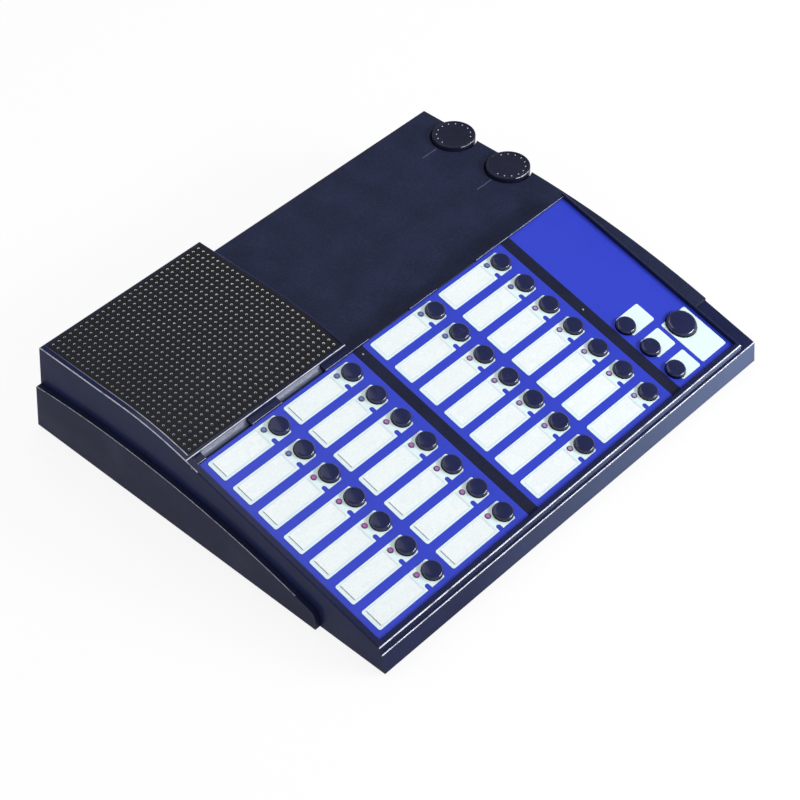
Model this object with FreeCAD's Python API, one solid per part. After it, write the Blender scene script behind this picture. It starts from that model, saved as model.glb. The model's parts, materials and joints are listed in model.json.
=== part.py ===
import FreeCAD, Part
import math
import os

from FreeCAD import Vector as V

# Desk intercom with a sloping key console, a raised loudspeaker box and a low rear deck.
# Millimetres, +Z up, +Y to the rear, origin under the middle of the whole outline.
# Console coordinates: x along the desk, s up the slope from the rear key row, n square to it,
# with n = 0 on the face of the key plate.

# ---- driving sizes: outline ----
TILT = 15.6                 # slope of the key console, degrees
HOUSING_WIDTH = 290.0
HOUSING_DEPTH = 248.2       # between the feet of the front and rear walls
FRONT_DRAFT = 6.8           # lean of the front wall, degrees
REAR_LEAN = 7.8             # lean of the rear wall, degrees
WALL = 2.5
SHELL_BOTTOM = 1.0          # underside of the shells above the desk
FLOOR_THICK = 2.5
EDGE_ROUND = 0.8            # rounding of the housing's outer edges
PANEL_Z = 47.05             # face of the key plate under the rear key row

# ---- driving sizes: console, ledge and deck ----
RIM_RISE = 2.5              # console rim above the key plate
REAR_RIM_RISE = 1.0         # lower rim behind the key plate
RIM_BEVEL = 1.2
RIGHT_STRIP = 9.8           # deck between the console and the right wall
CONSOLE_FRONT = 3.3         # front wall of the console behind the foot of the housing's front wall
FRONT_SHELF = 4.52          # from the console's front wall to the key plate
CONSOLE_BACK = 9.76         # console's rear wall behind the rear key row
LEDGE_DROP = 0.6            # ledge below the face of the key plate
NOTCH = 35.5                # front end of the deck cover, from the foot of the front wall
LEVEL_DECK = 69.1           # level stretch of the deck, from the foot of the rear wall
COVER_THICK = 1.6
SEAT_THICK = 2.0            # ring that the key plate rests on
SEAT_LAP = 1.6

# ---- driving sizes: speaker box ----
BOX_WIDTH = 111.4
BOX_FRONT = 12.46           # speaker box behind the rear key row
BOX_LEVEL = 0.5             # its level stretch, behind the front of the speaker's rim
GRILLE_THICK = 2.0
GRILLE_LEFT_BORDER = 3.2
GRILLE_BORDER = 1.4
GRILLE_PITCH = 3.73
GRILLE_HOLE = 1.7
SPEAKER_DIAMETER = 57.0
SPEAKER_OPENING = 52.0
SPEAKER_BACK = 40.6         # middle of the speaker from the foot of the rear wall
SPEAKER_DEPTH = 17.0
MAGNET_DIAMETER = 28.0
MAGNET_HEIGHT = 7.0
BASKET_THICK = 1.2
CONE_THICK = 0.6

# ---- driving sizes: lower shell ----
CHEEK_PROUD = 3.3
CHEEK_SETBACK = 43.1        # front end, from the foot of the front wall
CHEEK_CREST = 58.1          # highest place, from the foot of the rear wall
CHEEK_TOP_Z = 34.5
CHEEK_FRONT_Z = 11.93       # height of the front end
CHEEK_CORNER = 4.5
FOOT_DIAMETER = 12.0
FOOT_RECESS = 1.0
FOOT_INSET = 22.0

# ---- driving sizes: key plate ----
PLATE_LEFT = 4.8            # left edge of the key plate from the left wall
PLATE_RIGHT = 1.4           # right edge from the console's right side
PLATE_FRONT_MARGIN = 9.42   # in front of the last key row
PLATE_REAR = 8.9
PLATE_THICK = 2.5
OVERLAY_THICK = 0.4
OVERLAY_GAP = 7.18
RIGHT_OVERLAY_WIDTH = 45.04
ROW_PITCH = 17.78
ROWS = 7
POST_DIAMETER = 6.0
POST_INSET = 9.24           # first posts from the key plate's left edge
POST_END = 13.0             # last posts from its right edge
PIN_HOLE = 1.2
PIN_HOLE_1_S = 4.5
PIN_HOLE_2_S = -49.0

# ---- driving sizes: keys ----
KEY_DIAMETER = 10.7
FUNCTION_KEY_DIAMETER = 11.0
TALK_KEY_DIAMETER = 17.4
KEY_RISE = 2.5
KEY_ROUND = 1.2
KEY_DOME = 0.35
KEY_GAP = 0.3               # between a key and its hole
KEY_TRAVEL = 1.5
FLANGE_LIP = 1.2
FLANGE_THICK = 1.0
SWITCH_WIDTH = 6.0
SWITCH_HEIGHT = 2.2
SWITCH_BUTTON = 0.4
SWITCH_GAP = 0.3            # between a fully pressed key and its switch
FUNCTION_KEY_X = 6.5        # from the right overlay's left edge
FUNCTION_KEY_ROWS = (4, 5, 6)
TALK_KEY_END = 12.79        # from the key plate's right edge
TALK_KEY_S = -89.43

# ---- driving sizes: lamps, name plates and labels ----
LAMP_DIAMETER = 3.0
LAMP_X = -7.56
LAMP_S = 3.3
LAMP_RISE = 0.7
LAMP_GAP = 0.1
LAMP_ROUND = 0.6
HOLDER_WALL = 0.4
LENS_SEAT = 1.0             # foot of the lens above the board
GREY_LAMP_ROWS = 2
NAME_MARGIN = 3.4           # name plate from the overlay's left edge
NAME_SPACE = 6.13           # between the name plates of two columns
NAME_END = 6.37             # last name plate from the overlay's right edge
NAME_RIGHT = 2.9            # right end of a name plate, from its key's centre
NAME_TOP = 6.6
NAME_BOTTOM = -6.2
NAME_THICK = 0.3
NAME_CORNER = 1.1
WINDOW_MARGIN = 1.6         # window from the name plate's left end
WINDOW_RIGHT = -10.05
WINDOW_TOP = 5.9
WINDOW_BOTTOM = -5.3
WINDOW_SINK = 0.1           # window face below the name plate's face
WINDOW_CORNER = 0.7
NOTCH_X = -7.7
NOTCH_WIDTH = 2.8
NOTCH_TOP = -3.0
STRIP_THICK = 0.3
STRIP_SLOT = 0.5
SCOOP_RADIUS = 2.4
SCOOP_S = 11.1
FUNCTION_PLATE_LEFT = -1.2  # plate of a function key, from its key's centre
FUNCTION_PLATE_TOP = 6.2
FUNCTION_PLATE_BOTTOM = -6.9
FIRST_PLATE_LONGER = 3.0
TALK_PLATE_LEFT = -9.5      # plate of the talk key, from its key's centre
TALK_PLATE_RIGHT = 10.5
TALK_PLATE_TOP = 6.7
TALK_PLATE_BOTTOM = -23.7
PLATE_SPACE = 2.65          # between the function keys' plates and the talk key's

# ---- driving sizes: knobs ----
KNOB_DIAMETER = 25.0
KNOB_THICK = 5.5
KNOB_RISE = 2.1             # knob top above the deck cover
KNOB_INSET = 6.45           # from the right wall
KNOB_FRONT = 76.1           # from the foot of the rear wall
KNOB_REAR = 34.9
KNOB_ROUND = 0.6
KNOB_RIM = 1.2
KNOB_DISH = 0.3
KNOB_FLOOR_GAP = 0.5
POCKET_GAP = 1.25
POCKET_FLOOR = 2.0
SHAFT_DIAMETER = 6.0
SHAFT_FIT = 0.05
SHAFT_FLOOR = 2.0           # bottom of the spindle's hole above the board
POT_WIDTH = 9.6
POT_DEPTH = 11.0
POT_HEIGHT = 8.0
POT_RELIEF = 1.3            # wall thinned beside the potentiometer
INDEX_NEAR = 14.0
INDEX_FAR = 26.0
INDEX_WIDTH = 0.8
INDEX_DEPTH = 0.4

# ---- driving sizes: boards, connector and screws ----
BOARD_THICK = 1.6
MAIN_BOARD_LEFT = 12.0      # from the left wall
MAIN_BOARD_END = 4.2        # from the console's right side
MAIN_BOARD_EDGE = 4.1       # inside the front and rear edges of the key plate
CONTROL_LEFT = 6.6          # from the speaker box
CONTROL_FRONT = 38.46       # behind the rear key row
CONTROL_REAR = 16.1         # from the foot of the rear wall
CONTROL_POST_INSET = 6.0
CONTROL_POST_END = 27.3     # right posts from the board's right edge
SCREW_DIAMETER = 2.9
SCREW_FIT = 0.05
SCREW_HEAD_DIAMETER = 5.4
SCREW_HEAD_HEIGHT = 1.3
CASE_SCREW_LENGTH = 9.0
BOARD_SCREW_LENGTH = 6.0
BOSS_DIAMETER = 7.0
BOSS_HEIGHT = 9.5
BOSS_INSET = 5.5
BOSS_FRONT = 22.1           # from the foot of the front wall
BOSS_REAR = 12.1            # from the foot of the rear wall
SOCKET_X = 90.0             # rear connector from the right wall
SOCKET_WIDTH = 39.2
SOCKET_HEIGHT = 12.5
SOCKET_LENGTH = 11.0
SOCKET_SHELL_WIDTH = 25.0
SOCKET_SHELL_HEIGHT = 8.4
SOCKET_SHELL_LENGTH = 6.0
SOCKET_TAPER = 10.0         # lean of the shell's ends, degrees
SOCKET_CORNER = 1.5
CONTACT_PITCH = 2.77
CONTACT_ROW = 1.42          # contact rows above and below the middle
CONTACT_HOLE = 1.2
CONTACT_DEPTH = 4.0
MIC_DIAMETER = 6.0
MIC_HEIGHT = 2.7
MIC_COLLAR = 1.2
RIBBON_X = 65.0             # from the right wall
RIBBON_WIDTH = 26.0
RIBBON_THICK = 0.9
RIBBON_BEND = 4.0
RIBBON_SAG = 5.0
HEADER_HEIGHT = 6.0
HEADER_DEPTH = 5.0
HEADER_END = 2.0            # header wider than the ribbon, each end
MAIN_CHIP_SIDE = 14.0
MAIN_CHIP_HEIGHT = 2.4
MAIN_CHIP_X = 18.0          # from the gap between two overlays
MAIN_CHIP_S = -26.0
CONTROL_CHIP_LENGTH = 26.0
CONTROL_CHIP_DEPTH = 10.0
CONTROL_CHIP_HEIGHT = 4.0
CONTROL_CHIP_X = 30.0       # from the board's left edge
CONTROL_CHIP_BACK = 24.0    # from the board's rear edge
CAPACITOR_DIAMETER = 10.0
CAPACITOR_LENGTH = 14.0
CAPACITOR_PITCH = 13.0
CAPACITOR_FRONT = 24.0      # from the board's front edge
CAPACITORS = 3

CLEARANCE = 0.2             # around fitted plates
TINY = 1e-4                 # for comparing places

# ---- derived places: outline, console and deck ----
SLOPE = math.radians(TILT)
FRONT_FOOT = -HOUSING_DEPTH / 2
REAR_FOOT = HOUSING_DEPTH / 2
RIGHT_OVERHANG = max(CHEEK_PROUD, KNOB_DIAMETER / 2 - KNOB_INSET)
LEFT = -(HOUSING_WIDTH + RIGHT_OVERHANG - CHEEK_PROUD) / 2
RIGHT = LEFT + HOUSING_WIDTH
FLOOR_TOP = SHELL_BOTTOM + FLOOR_THICK
CONSOLE_RIGHT = RIGHT - RIGHT_STRIP
BOX_RIGHT = LEFT + BOX_WIDTH
KEY_ROWS = [-row * ROW_PITCH for row in range(ROWS)]
PLATE_FRONT = KEY_ROWS[-1] - PLATE_FRONT_MARGIN
PANEL_Y = FRONT_FOOT + CONSOLE_FRONT + FRONT_SHELF - PLATE_FRONT * math.cos(SLOPE)
CONSOLE_REAR_Y = PANEL_Y + CONSOLE_BACK
NOTCH_Y = FRONT_FOOT + NOTCH
LEVEL_Y = REAR_FOOT - LEVEL_DECK
DECK_RADIUS = (LEVEL_Y - NOTCH_Y) / math.sin(SLOPE)
SPEAKER_Y = REAR_FOOT - SPEAKER_BACK
BOX_FRONT_Y = PANEL_Y + BOX_FRONT
BOX_LEVEL_Y = SPEAKER_Y - SPEAKER_DIAMETER / 2 + BOX_LEVEL
BOX_RADIUS = (BOX_LEVEL_Y - BOX_FRONT_Y) / math.sin(SLOPE)
CHEEK_FRONT_Y = FRONT_FOOT + CHEEK_SETBACK
CHEEK_TOP_Y = REAR_FOOT - CHEEK_CREST
CHEEK_DROP = CHEEK_TOP_Z - CHEEK_FRONT_Z
CHEEK_RADIUS = ((CHEEK_TOP_Y - CHEEK_FRONT_Y) ** 2 + CHEEK_DROP ** 2) / (2 * CHEEK_DROP)

# ---- derived places: key plate ----
PLATE_X0 = LEFT + PLATE_LEFT
PLATE_X1 = CONSOLE_RIGHT - PLATE_RIGHT
OVERLAY_PITCH = (PLATE_X1 - PLATE_X0 - RIGHT_OVERLAY_WIDTH) / 2
OVERLAY_WIDTH = OVERLAY_PITCH - OVERLAY_GAP
OVERLAYS = [(PLATE_X0, PLATE_X0 + OVERLAY_WIDTH),
            (PLATE_X0 + OVERLAY_PITCH, PLATE_X0 + OVERLAY_PITCH + OVERLAY_WIDTH),
            (PLATE_X1 - RIGHT_OVERLAY_WIDTH, PLATE_X1)]
DIVIDERS = [(OVERLAYS[i][1] + OVERLAYS[i + 1][0]) / 2 for i in (0, 1)]
NAME_LENGTH = (OVERLAY_WIDTH - NAME_MARGIN - NAME_SPACE - NAME_END) / 2
NAME_LEFT = NAME_RIGHT - NAME_LENGTH
WINDOW_LEFT = NAME_LEFT + WINDOW_MARGIN
FIRST_KEY_X = PLATE_X0 + NAME_MARGIN - NAME_LEFT
KEY_COLUMNS = [FIRST_KEY_X + group * OVERLAY_PITCH + half * (NAME_LENGTH + NAME_SPACE)
               for group in (0, 1) for half in (0, 1)]
FUNCTION_X = OVERLAYS[2][0] + FUNCTION_KEY_X
TALK_X = PLATE_X1 - TALK_KEY_END
SWITCH_TOP = -PLATE_THICK - FLANGE_THICK - KEY_TRAVEL - SWITCH_GAP
BOARD_TOP = SWITCH_TOP - SWITCH_HEIGHT
BOARD_BOTTOM = BOARD_TOP - BOARD_THICK
BOARD_TOP_TO_PLATE = -PLATE_THICK - BOARD_TOP


def slope_z(y, n):
    """Height of the plane n above the key plate, at the place y."""
    return PANEL_Z + (y - PANEL_Y) * math.tan(SLOPE) + n / math.cos(SLOPE)


SEAT_Z = slope_z(NOTCH_Y, -LEDGE_DROP) + DECK_RADIUS * (1 - math.cos(SLOPE))
DECK_Z = SEAT_Z + COVER_THICK
BOX_TOP = slope_z(BOX_FRONT_Y, RIM_RISE) + BOX_RADIUS * (1 - math.cos(SLOPE))
BOX_SKIN = GRILLE_THICK + 2.0
KNOB_XC = RIGHT - KNOB_INSET
KNOB_BOTTOM = DECK_Z + KNOB_RISE - KNOB_THICK
POCKET_Z = KNOB_BOTTOM - KNOB_FLOOR_GAP
CUP_BOTTOM = POCKET_Z - POCKET_FLOOR
CONTROL_TOP = CUP_BOTTOM - POT_HEIGHT
CONTROL_BOTTOM = CONTROL_TOP - BOARD_THICK
CONTROL_X0 = BOX_RIGHT + CONTROL_LEFT
CONTROL_X1 = RIGHT - WALL - CLEARANCE
CONTROL_FRONT_Y = PANEL_Y + CONTROL_FRONT
CONTROL_REAR_Y = REAR_FOOT - CONTROL_REAR
SPEAKER_X = (LEFT + BOX_RIGHT) / 2
SPEAKER_TOP = BOX_TOP - BOX_SKIN
SCREW_RADIUS = SCREW_DIAMETER / 2
BORE_RADIUS = SCREW_RADIUS + SCREW_FIT


# ---- small helpers ----
def box(x0, x1, y0, y1, z0, z1):
    return Part.makeBox(x1 - x0, y1 - y0, z1 - z0, V(x0, y0, z0))


def rod(x, y, z0, z1, radius):
    return Part.makeCylinder(radius, z1 - z0, V(x, y, z0))


def rounded_box(x0, x1, y0, y1, z0, z1, radius):
    solid = box(x0, x1, y0, y1, z0, z1)
    upright = [e for e in solid.Edges if abs(e.tangentAt(e.FirstParameter).z) > 0.99]
    return solid.makeFillet(radius, upright)


def tilted(shape):
    """Move a shape from console coordinates to the part's frame."""
    moved = shape.copy()
    moved.rotate(V(0, 0, 0), V(1, 0, 0), TILT)
    moved.translate(V(0, PANEL_Y, PANEL_Z))
    return moved


def shifted(shape, x, y, z=0.0):
    moved = shape.copy()
    moved.translate(V(x, y, z))
    return moved


def slab(edges, x0, x1):
    """Extrude a side profile, drawn in y and z, along x."""
    face = Part.Face(Part.Wire(Part.__sortEdges__(edges)))
    solid = face.extrude(V(x1 - x0, 0, 0))
    return shifted(solid, x0, 0)


def line(a, b):
    return Part.makeLine(V(0, a[0], a[1]), V(0, b[0], b[1]))


def arc(a, mid, b):
    return Part.Arc(V(0, a[0], a[1]), V(0, mid[0], mid[1]), V(0, b[0], b[1])).toShape()


def polygon(points, x0, x1):
    return slab([line(points[i - 1], points[i]) for i in range(len(points))], x0, x1)


def save(name, shape):
    shape.exportStep("parts/" + name + ".step")


# ---- side profiles ----
def front_y(z, inset=0.0):
    draft = math.radians(FRONT_DRAFT)
    return FRONT_FOOT + (z - SHELL_BOTTOM) * math.tan(draft) + inset / math.cos(draft)


def rear_y(z, inset=0.0):
    lean = math.radians(REAR_LEAN)
    return REAR_FOOT - (z - SHELL_BOTTOM) * math.tan(lean) - inset / math.cos(lean)


def front_top(inset):
    """Where the front wall meets the ledge."""
    rise = math.tan(math.radians(FRONT_DRAFT))
    ledge = slope_z(0, -LEDGE_DROP - inset)
    start = front_y(0, inset)
    z = (ledge + math.tan(SLOPE) * start) / (1 - math.tan(SLOPE) * rise)
    return (start + rise * z, z)


def crest(level_y, level_z, radius, inset):
    """Arc from the slope to the level stretch: its two ends and its middle."""
    reach = radius - inset
    centre_z = level_z - radius
    ends = []
    for angle in (SLOPE, SLOPE / 2, 0.0):
        ends.append((level_y - reach * math.sin(angle), centre_z + reach * math.cos(angle)))
    return ends


def base_slab(x0, x1, inset, bottom):
    """The low body under the ledge and the deck."""
    start, middle, end = crest(LEVEL_Y, SEAT_Z, DECK_RADIUS, inset)
    corner = front_top(inset)
    rear = (rear_y(end[1], inset), end[1])
    feet = [(front_y(bottom, inset), bottom), (rear_y(bottom, inset), bottom)]
    edges = [line(feet[0], corner), line(corner, start), arc(start, middle, end),
             line(end, rear), line(rear, feet[1]), line(feet[1], feet[0])]
    return slab(edges, x0, x1)


def box_slab(x0, x1, inset, front, bottom):
    """The speaker box, from the place front to the rear wall."""
    start, middle, end = crest(BOX_LEVEL_Y, BOX_TOP, BOX_RADIUS, inset)
    rear = (rear_y(end[1], inset), end[1])
    foot = (rear_y(bottom, inset), bottom)
    if front < start[0] - 0.01:
        nose = (front, slope_z(front, RIM_RISE - inset))
        top = [line((front, bottom), nose), line(nose, start), arc(start, middle, end)]
    else:
        reach = BOX_RADIUS - inset
        bend = math.asin((BOX_LEVEL_Y - front) / reach)
        centre_z = BOX_TOP - BOX_RADIUS
        nose = (front, centre_z + reach * math.cos(bend))
        halfway = (BOX_LEVEL_Y - reach * math.sin(bend / 2), centre_z + reach * math.cos(bend / 2))
        top = [line((front, bottom), nose), arc(nose, halfway, end)]
    edges = top + [line(end, rear), line(rear, foot), line(foot, (front, bottom))]
    return slab(edges, x0, x1)


def console_slab(x0, x1, front, rear, top_n, bottom):
    points = [(front, bottom), (front, slope_z(front, top_n)), (rear, slope_z(rear, top_n)),
              (rear, bottom)]
    return polygon(points, x0, x1)


def round_edges(solid, chosen, radius):
    return solid.makeFillet(radius, [e for e in solid.Edges if chosen(e)])


# ---- housing ----
def housing_outer():
    bottom = SHELL_BOTTOM
    base = base_slab(LEFT, RIGHT, 0.0, bottom)
    corner = front_top(0.0)
    base = round_edges(base, lambda e: all(abs(v.Y - corner[0]) < TINY and abs(v.Z - corner[1]) < TINY
                                           for v in e.Vertexes), EDGE_ROUND)
    front = front_y(SHELL_BOTTOM) + CONSOLE_FRONT
    low = FLOOR_TOP + WALL
    console = console_slab(LEFT, CONSOLE_RIGHT, front, CONSOLE_REAR_Y, RIM_RISE, low)
    rim_z = slope_z(front, RIM_RISE) - 0.01
    console = round_edges(console, lambda e: all(v.Z > rim_z for v in e.Vertexes)
                          and not all(v.Y > CONSOLE_REAR_Y - 0.01 for v in e.Vertexes), EDGE_ROUND)
    speaker = box_slab(LEFT, BOX_RIGHT, 0.0, PANEL_Y, SEAT_Z - 2 * WALL)
    low_z = slope_z(PANEL_Y, RIM_RISE) - 0.01
    speaker = round_edges(speaker, lambda e: all(v.Z > low_z for v in e.Vertexes)
                          and not all(v.Y < PANEL_Y + 0.01 for v in e.Vertexes), EDGE_ROUND)
    return base.fuse([console, speaker]).removeSplitter()


def rear_trough():
    """The lower strip behind the key plate, up to the step of the speaker box."""
    end = (BOX_FRONT_Y - PANEL_Y) / math.cos(SLOPE) + REAR_RIM_RISE * math.tan(SLOPE)
    x0 = PLATE_X0 - RIM_BEVEL
    x1 = PLATE_X1 + CLEARANCE
    top = 4 * RIM_RISE
    strip = tilted(box(x0, x1, PLATE_REAR - 1.0, end, REAR_RIM_RISE, top))
    return strip.cut(box(x0 - 1, x1 + 1, BOX_FRONT_Y, REAR_FOOT, 0, 2 * PANEL_Z))


def housing_cavity():
    x0 = LEFT + WALL
    x1 = RIGHT - WALL
    base = base_slab(x0, x1, WALL, SHELL_BOTTOM - 1)
    front = front_top(WALL)[0] + CONSOLE_FRONT
    console = console_slab(x0, CONSOLE_RIGHT - WALL, front, CONSOLE_REAR_Y - WALL,
                           -PLATE_THICK - SEAT_THICK, FLOOR_TOP + WALL)
    nose = BOX_FRONT_Y + WALL
    speaker = box_slab(x0, BOX_RIGHT - WALL, BOX_SKIN, nose, SEAT_Z - 4 * WALL)
    link = console_slab(x0, BOX_RIGHT - WALL, PANEL_Y, nose + 1.0, -PLATE_THICK - SEAT_THICK,
                        SEAT_Z - 4 * WALL)
    return base.fuse([console, speaker, link])


def plate_seat():
    """Ring under the edge of the key plate."""
    ring = tilted(box(LEFT + WALL / 2, CONSOLE_RIGHT, PLATE_FRONT - WALL, PLATE_REAR,
                      -PLATE_THICK - SEAT_THICK, -PLATE_THICK))
    return ring.common(box(LEFT, RIGHT, front_y(SHELL_BOTTOM), CONSOLE_REAR_Y, 0, 2 * PANEL_Z))


def plate_pocket():
    x0 = PLATE_X0 - CLEARANCE
    x1 = PLATE_X1 + CLEARANCE
    s0 = PLATE_FRONT - CLEARANCE
    s1 = PLATE_REAR + CLEARANCE
    pocket = box(x0, x1, s0, s1, -PLATE_THICK, 4 * RIM_RISE)
    opening = box(PLATE_X0 + SEAT_LAP, PLATE_X1 - SEAT_LAP, PLATE_FRONT + SEAT_LAP,
                  PLATE_REAR - SEAT_LAP, -PLATE_THICK - 2 * SEAT_THICK, 0)
    low = rectangle(x0, x1, s0, s1, RIM_RISE - 1.5 * RIM_BEVEL)
    high = rectangle(x0 - 2 * RIM_BEVEL, x1, s0 - 2 * RIM_BEVEL, s1, RIM_RISE + 1.5 * RIM_BEVEL)
    bevel = Part.makeLoft([low, high], True, True)
    return tilted(pocket.fuse([opening, bevel]))


def rectangle(x0, x1, y0, y1, z):
    return Part.makePolygon([V(x0, y0, z), V(x1, y0, z), V(x1, y1, z), V(x0, y1, z), V(x0, y0, z)])


def finger_scoops():
    """Hollows behind each column where a label strip is pulled out."""
    scoops = []
    for x in KEY_COLUMNS:
        length = WINDOW_RIGHT - WINDOW_LEFT
        start = V(x + WINDOW_LEFT, SCOOP_S, REAR_RIM_RISE)
        scoops.append(tilted(Part.makeCylinder(SCOOP_RADIUS, length, start, V(1, 0, 0))))
    return scoops


def knob_places():
    return [(KNOB_XC, REAR_FOOT - KNOB_FRONT), (KNOB_XC, REAR_FOOT - KNOB_REAR)]


def knob_pockets():
    radius = KNOB_DIAMETER / 2 + POCKET_GAP
    return [rod(x, y, POCKET_Z, DECK_Z + KNOB_RISE, radius) for x, y in knob_places()]


def knob_cups():
    """Cup under each knob, cut to the outline of the housing."""
    radius = KNOB_DIAMETER / 2 + POCKET_GAP + POCKET_FLOOR
    cups = [rod(x, y, CUP_BOTTOM, SEAT_Z, radius) for x, y in knob_places()]
    hull = base_slab(LEFT, RIGHT, 0.0, SHELL_BOTTOM)
    return [cup.common(hull) for cup in cups]


def shaft_holes():
    radius = SHAFT_DIAMETER / 2 + KEY_GAP
    return [rod(x, y, CUP_BOTTOM - 1, POCKET_Z + 1, radius) for x, y in knob_places()]


def pot_reliefs():
    half = POT_DEPTH / 2 + 1.5
    return [box(RIGHT - WALL - 1, RIGHT - WALL + POT_RELIEF, y - half, y + half,
                CONTROL_BOTTOM - 1, CUP_BOTTOM) for x, y in knob_places()]


def boss_places():
    return [(x, y) for x in (LEFT + BOSS_INSET, RIGHT - BOSS_INSET)
            for y in (FRONT_FOOT + BOSS_FRONT, 0.0, REAR_FOOT - BOSS_REAR)]


def control_post_places():
    xs = (CONTROL_X0 + CONTROL_POST_INSET, CONTROL_X1 - CONTROL_POST_END)
    ys = (CONTROL_FRONT_Y + CONTROL_POST_INSET, CONTROL_REAR_Y - 2 * CONTROL_POST_INSET)
    return [(x, y) for x in xs for y in ys]


def socket_opening():
    x = RIGHT - SOCKET_X
    half = SOCKET_SHELL_WIDTH / 2 + 1.0
    z = CONTROL_BOTTOM - SOCKET_HEIGHT / 2
    rise = SOCKET_SHELL_HEIGHT / 2 + 1.0
    return box(x - half, x + half, rear_y(z, 3 * WALL), REAR_FOOT, z - rise, z + rise)


def grille_region(gap):
    x0 = LEFT + GRILLE_LEFT_BORDER + gap
    x1 = BOX_RIGHT - GRILLE_BORDER - gap
    rear = rear_y(BOX_TOP) - GRILLE_BORDER - gap
    return box(x0, x1, BOX_FRONT_Y + GRILLE_BORDER + gap, rear, 0, 2 * BOX_TOP)


def upper_housing():
    under_grille = box_slab(LEFT, BOX_RIGHT, GRILLE_THICK, PANEL_Y, SHELL_BOTTOM)
    body = housing_outer().cut(rear_trough())
    body = body.cut(grille_region(0.0).cut(under_grille))
    body = body.cut(housing_cavity())
    bosses = [rod(x, y, FLOOR_TOP, FLOOR_TOP + BOSS_HEIGHT, BOSS_DIAMETER / 2) for x, y in boss_places()]
    posts = [rod(x, y, CONTROL_TOP, SEAT_Z - WALL / 2, POST_DIAMETER / 2)
             for x, y in control_post_places()]
    body = body.fuse([plate_seat()] + bosses + posts + knob_cups())
    body = body.cut([plate_pocket(), socket_opening(), speaker_opening()])
    body = body.cut(finger_scoops() + knob_pockets() + shaft_holes() + pot_reliefs())
    bores = [rod(x, y, FLOOR_TOP - 1, FLOOR_TOP + CASE_SCREW_LENGTH, BORE_RADIUS)
             for x, y in boss_places()]
    bores += [rod(x, y, CONTROL_TOP - 1, CONTROL_TOP + BOARD_SCREW_LENGTH, BORE_RADIUS)
              for x, y in control_post_places()]
    body = body.cut(bores)
    cut_back = box(LEFT - 1, RIGHT + 1, CHEEK_FRONT_Y, HOUSING_DEPTH, 0, FLOOR_TOP)
    return body.cut(cut_back).removeSplitter()


def speaker_opening():
    return rod(SPEAKER_X, SPEAKER_Y, SPEAKER_TOP - 1, BOX_TOP, SPEAKER_OPENING / 2)


# ---- deck cover ----
def deck_cover():
    top = base_slab(LEFT, RIGHT, -COVER_THICK, SHELL_BOTTOM)
    under = base_slab(LEFT - 1, RIGHT + 1, 0.0, SHELL_BOTTOM - 1)
    behind = box(LEFT - 1, RIGHT + 1, NOTCH_Y, HOUSING_DEPTH, SHELL_BOTTOM, 2 * DECK_Z)
    cover = top.cut(under).common(behind)
    low = console_slab(LEFT - 1, CONSOLE_RIGHT + CLEARANCE, -HOUSING_DEPTH, CONSOLE_REAR_Y + CLEARANCE,
                       RIM_RISE * 8, SHELL_BOTTOM)
    speaker = box(LEFT - 1, BOX_RIGHT + CLEARANCE, 0, HOUSING_DEPTH, 0, 2 * DECK_Z)
    flush_rear = box(LEFT - 1, RIGHT + 1, rear_y(DECK_Z), HOUSING_DEPTH, 0, 2 * DECK_Z)
    lines = [box(x - INDEX_FAR, x - INDEX_NEAR, y - INDEX_WIDTH / 2, y + INDEX_WIDTH / 2,
                 DECK_Z - INDEX_DEPTH, DECK_Z + 1) for x, y in knob_places()]
    return cover.cut([low, speaker, flush_rear] + knob_pockets() + lines)


# ---- lower shell ----
def cheek_profile():
    def top_z(y):
        return CHEEK_TOP_Z - CHEEK_RADIUS + math.sqrt(CHEEK_RADIUS ** 2 - (y - CHEEK_TOP_Y) ** 2)
    rear_top_z = top_z(rear_y(CHEEK_TOP_Z))
    start = (CHEEK_FRONT_Y, top_z(CHEEK_FRONT_Y))
    end = (rear_y(rear_top_z), rear_top_z)
    middle_y = (start[0] + end[0]) / 2
    foot = (CHEEK_FRONT_Y, SHELL_BOTTOM)
    heel = (rear_y(SHELL_BOTTOM), SHELL_BOTTOM)
    return [line(foot, start), arc(start, (middle_y, top_z(middle_y)), end), line(end, heel),
            line(heel, foot)]


def cheek(x0, x1):
    solid = slab(cheek_profile(), x0, x1)
    return round_edges(solid, lambda e: all(abs(v.Y - CHEEK_FRONT_Y) < TINY and v.Z > SHELL_BOTTOM + 1
                                            for v in e.Vertexes), CHEEK_CORNER)


def foot_places():
    xs = (LEFT + FOOT_INSET, RIGHT - FOOT_INSET)
    ys = (front_y(SHELL_BOTTOM) + FOOT_INSET, rear_y(SHELL_BOTTOM) - FOOT_INSET)
    return [(x, y) for x in xs for y in ys]


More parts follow.
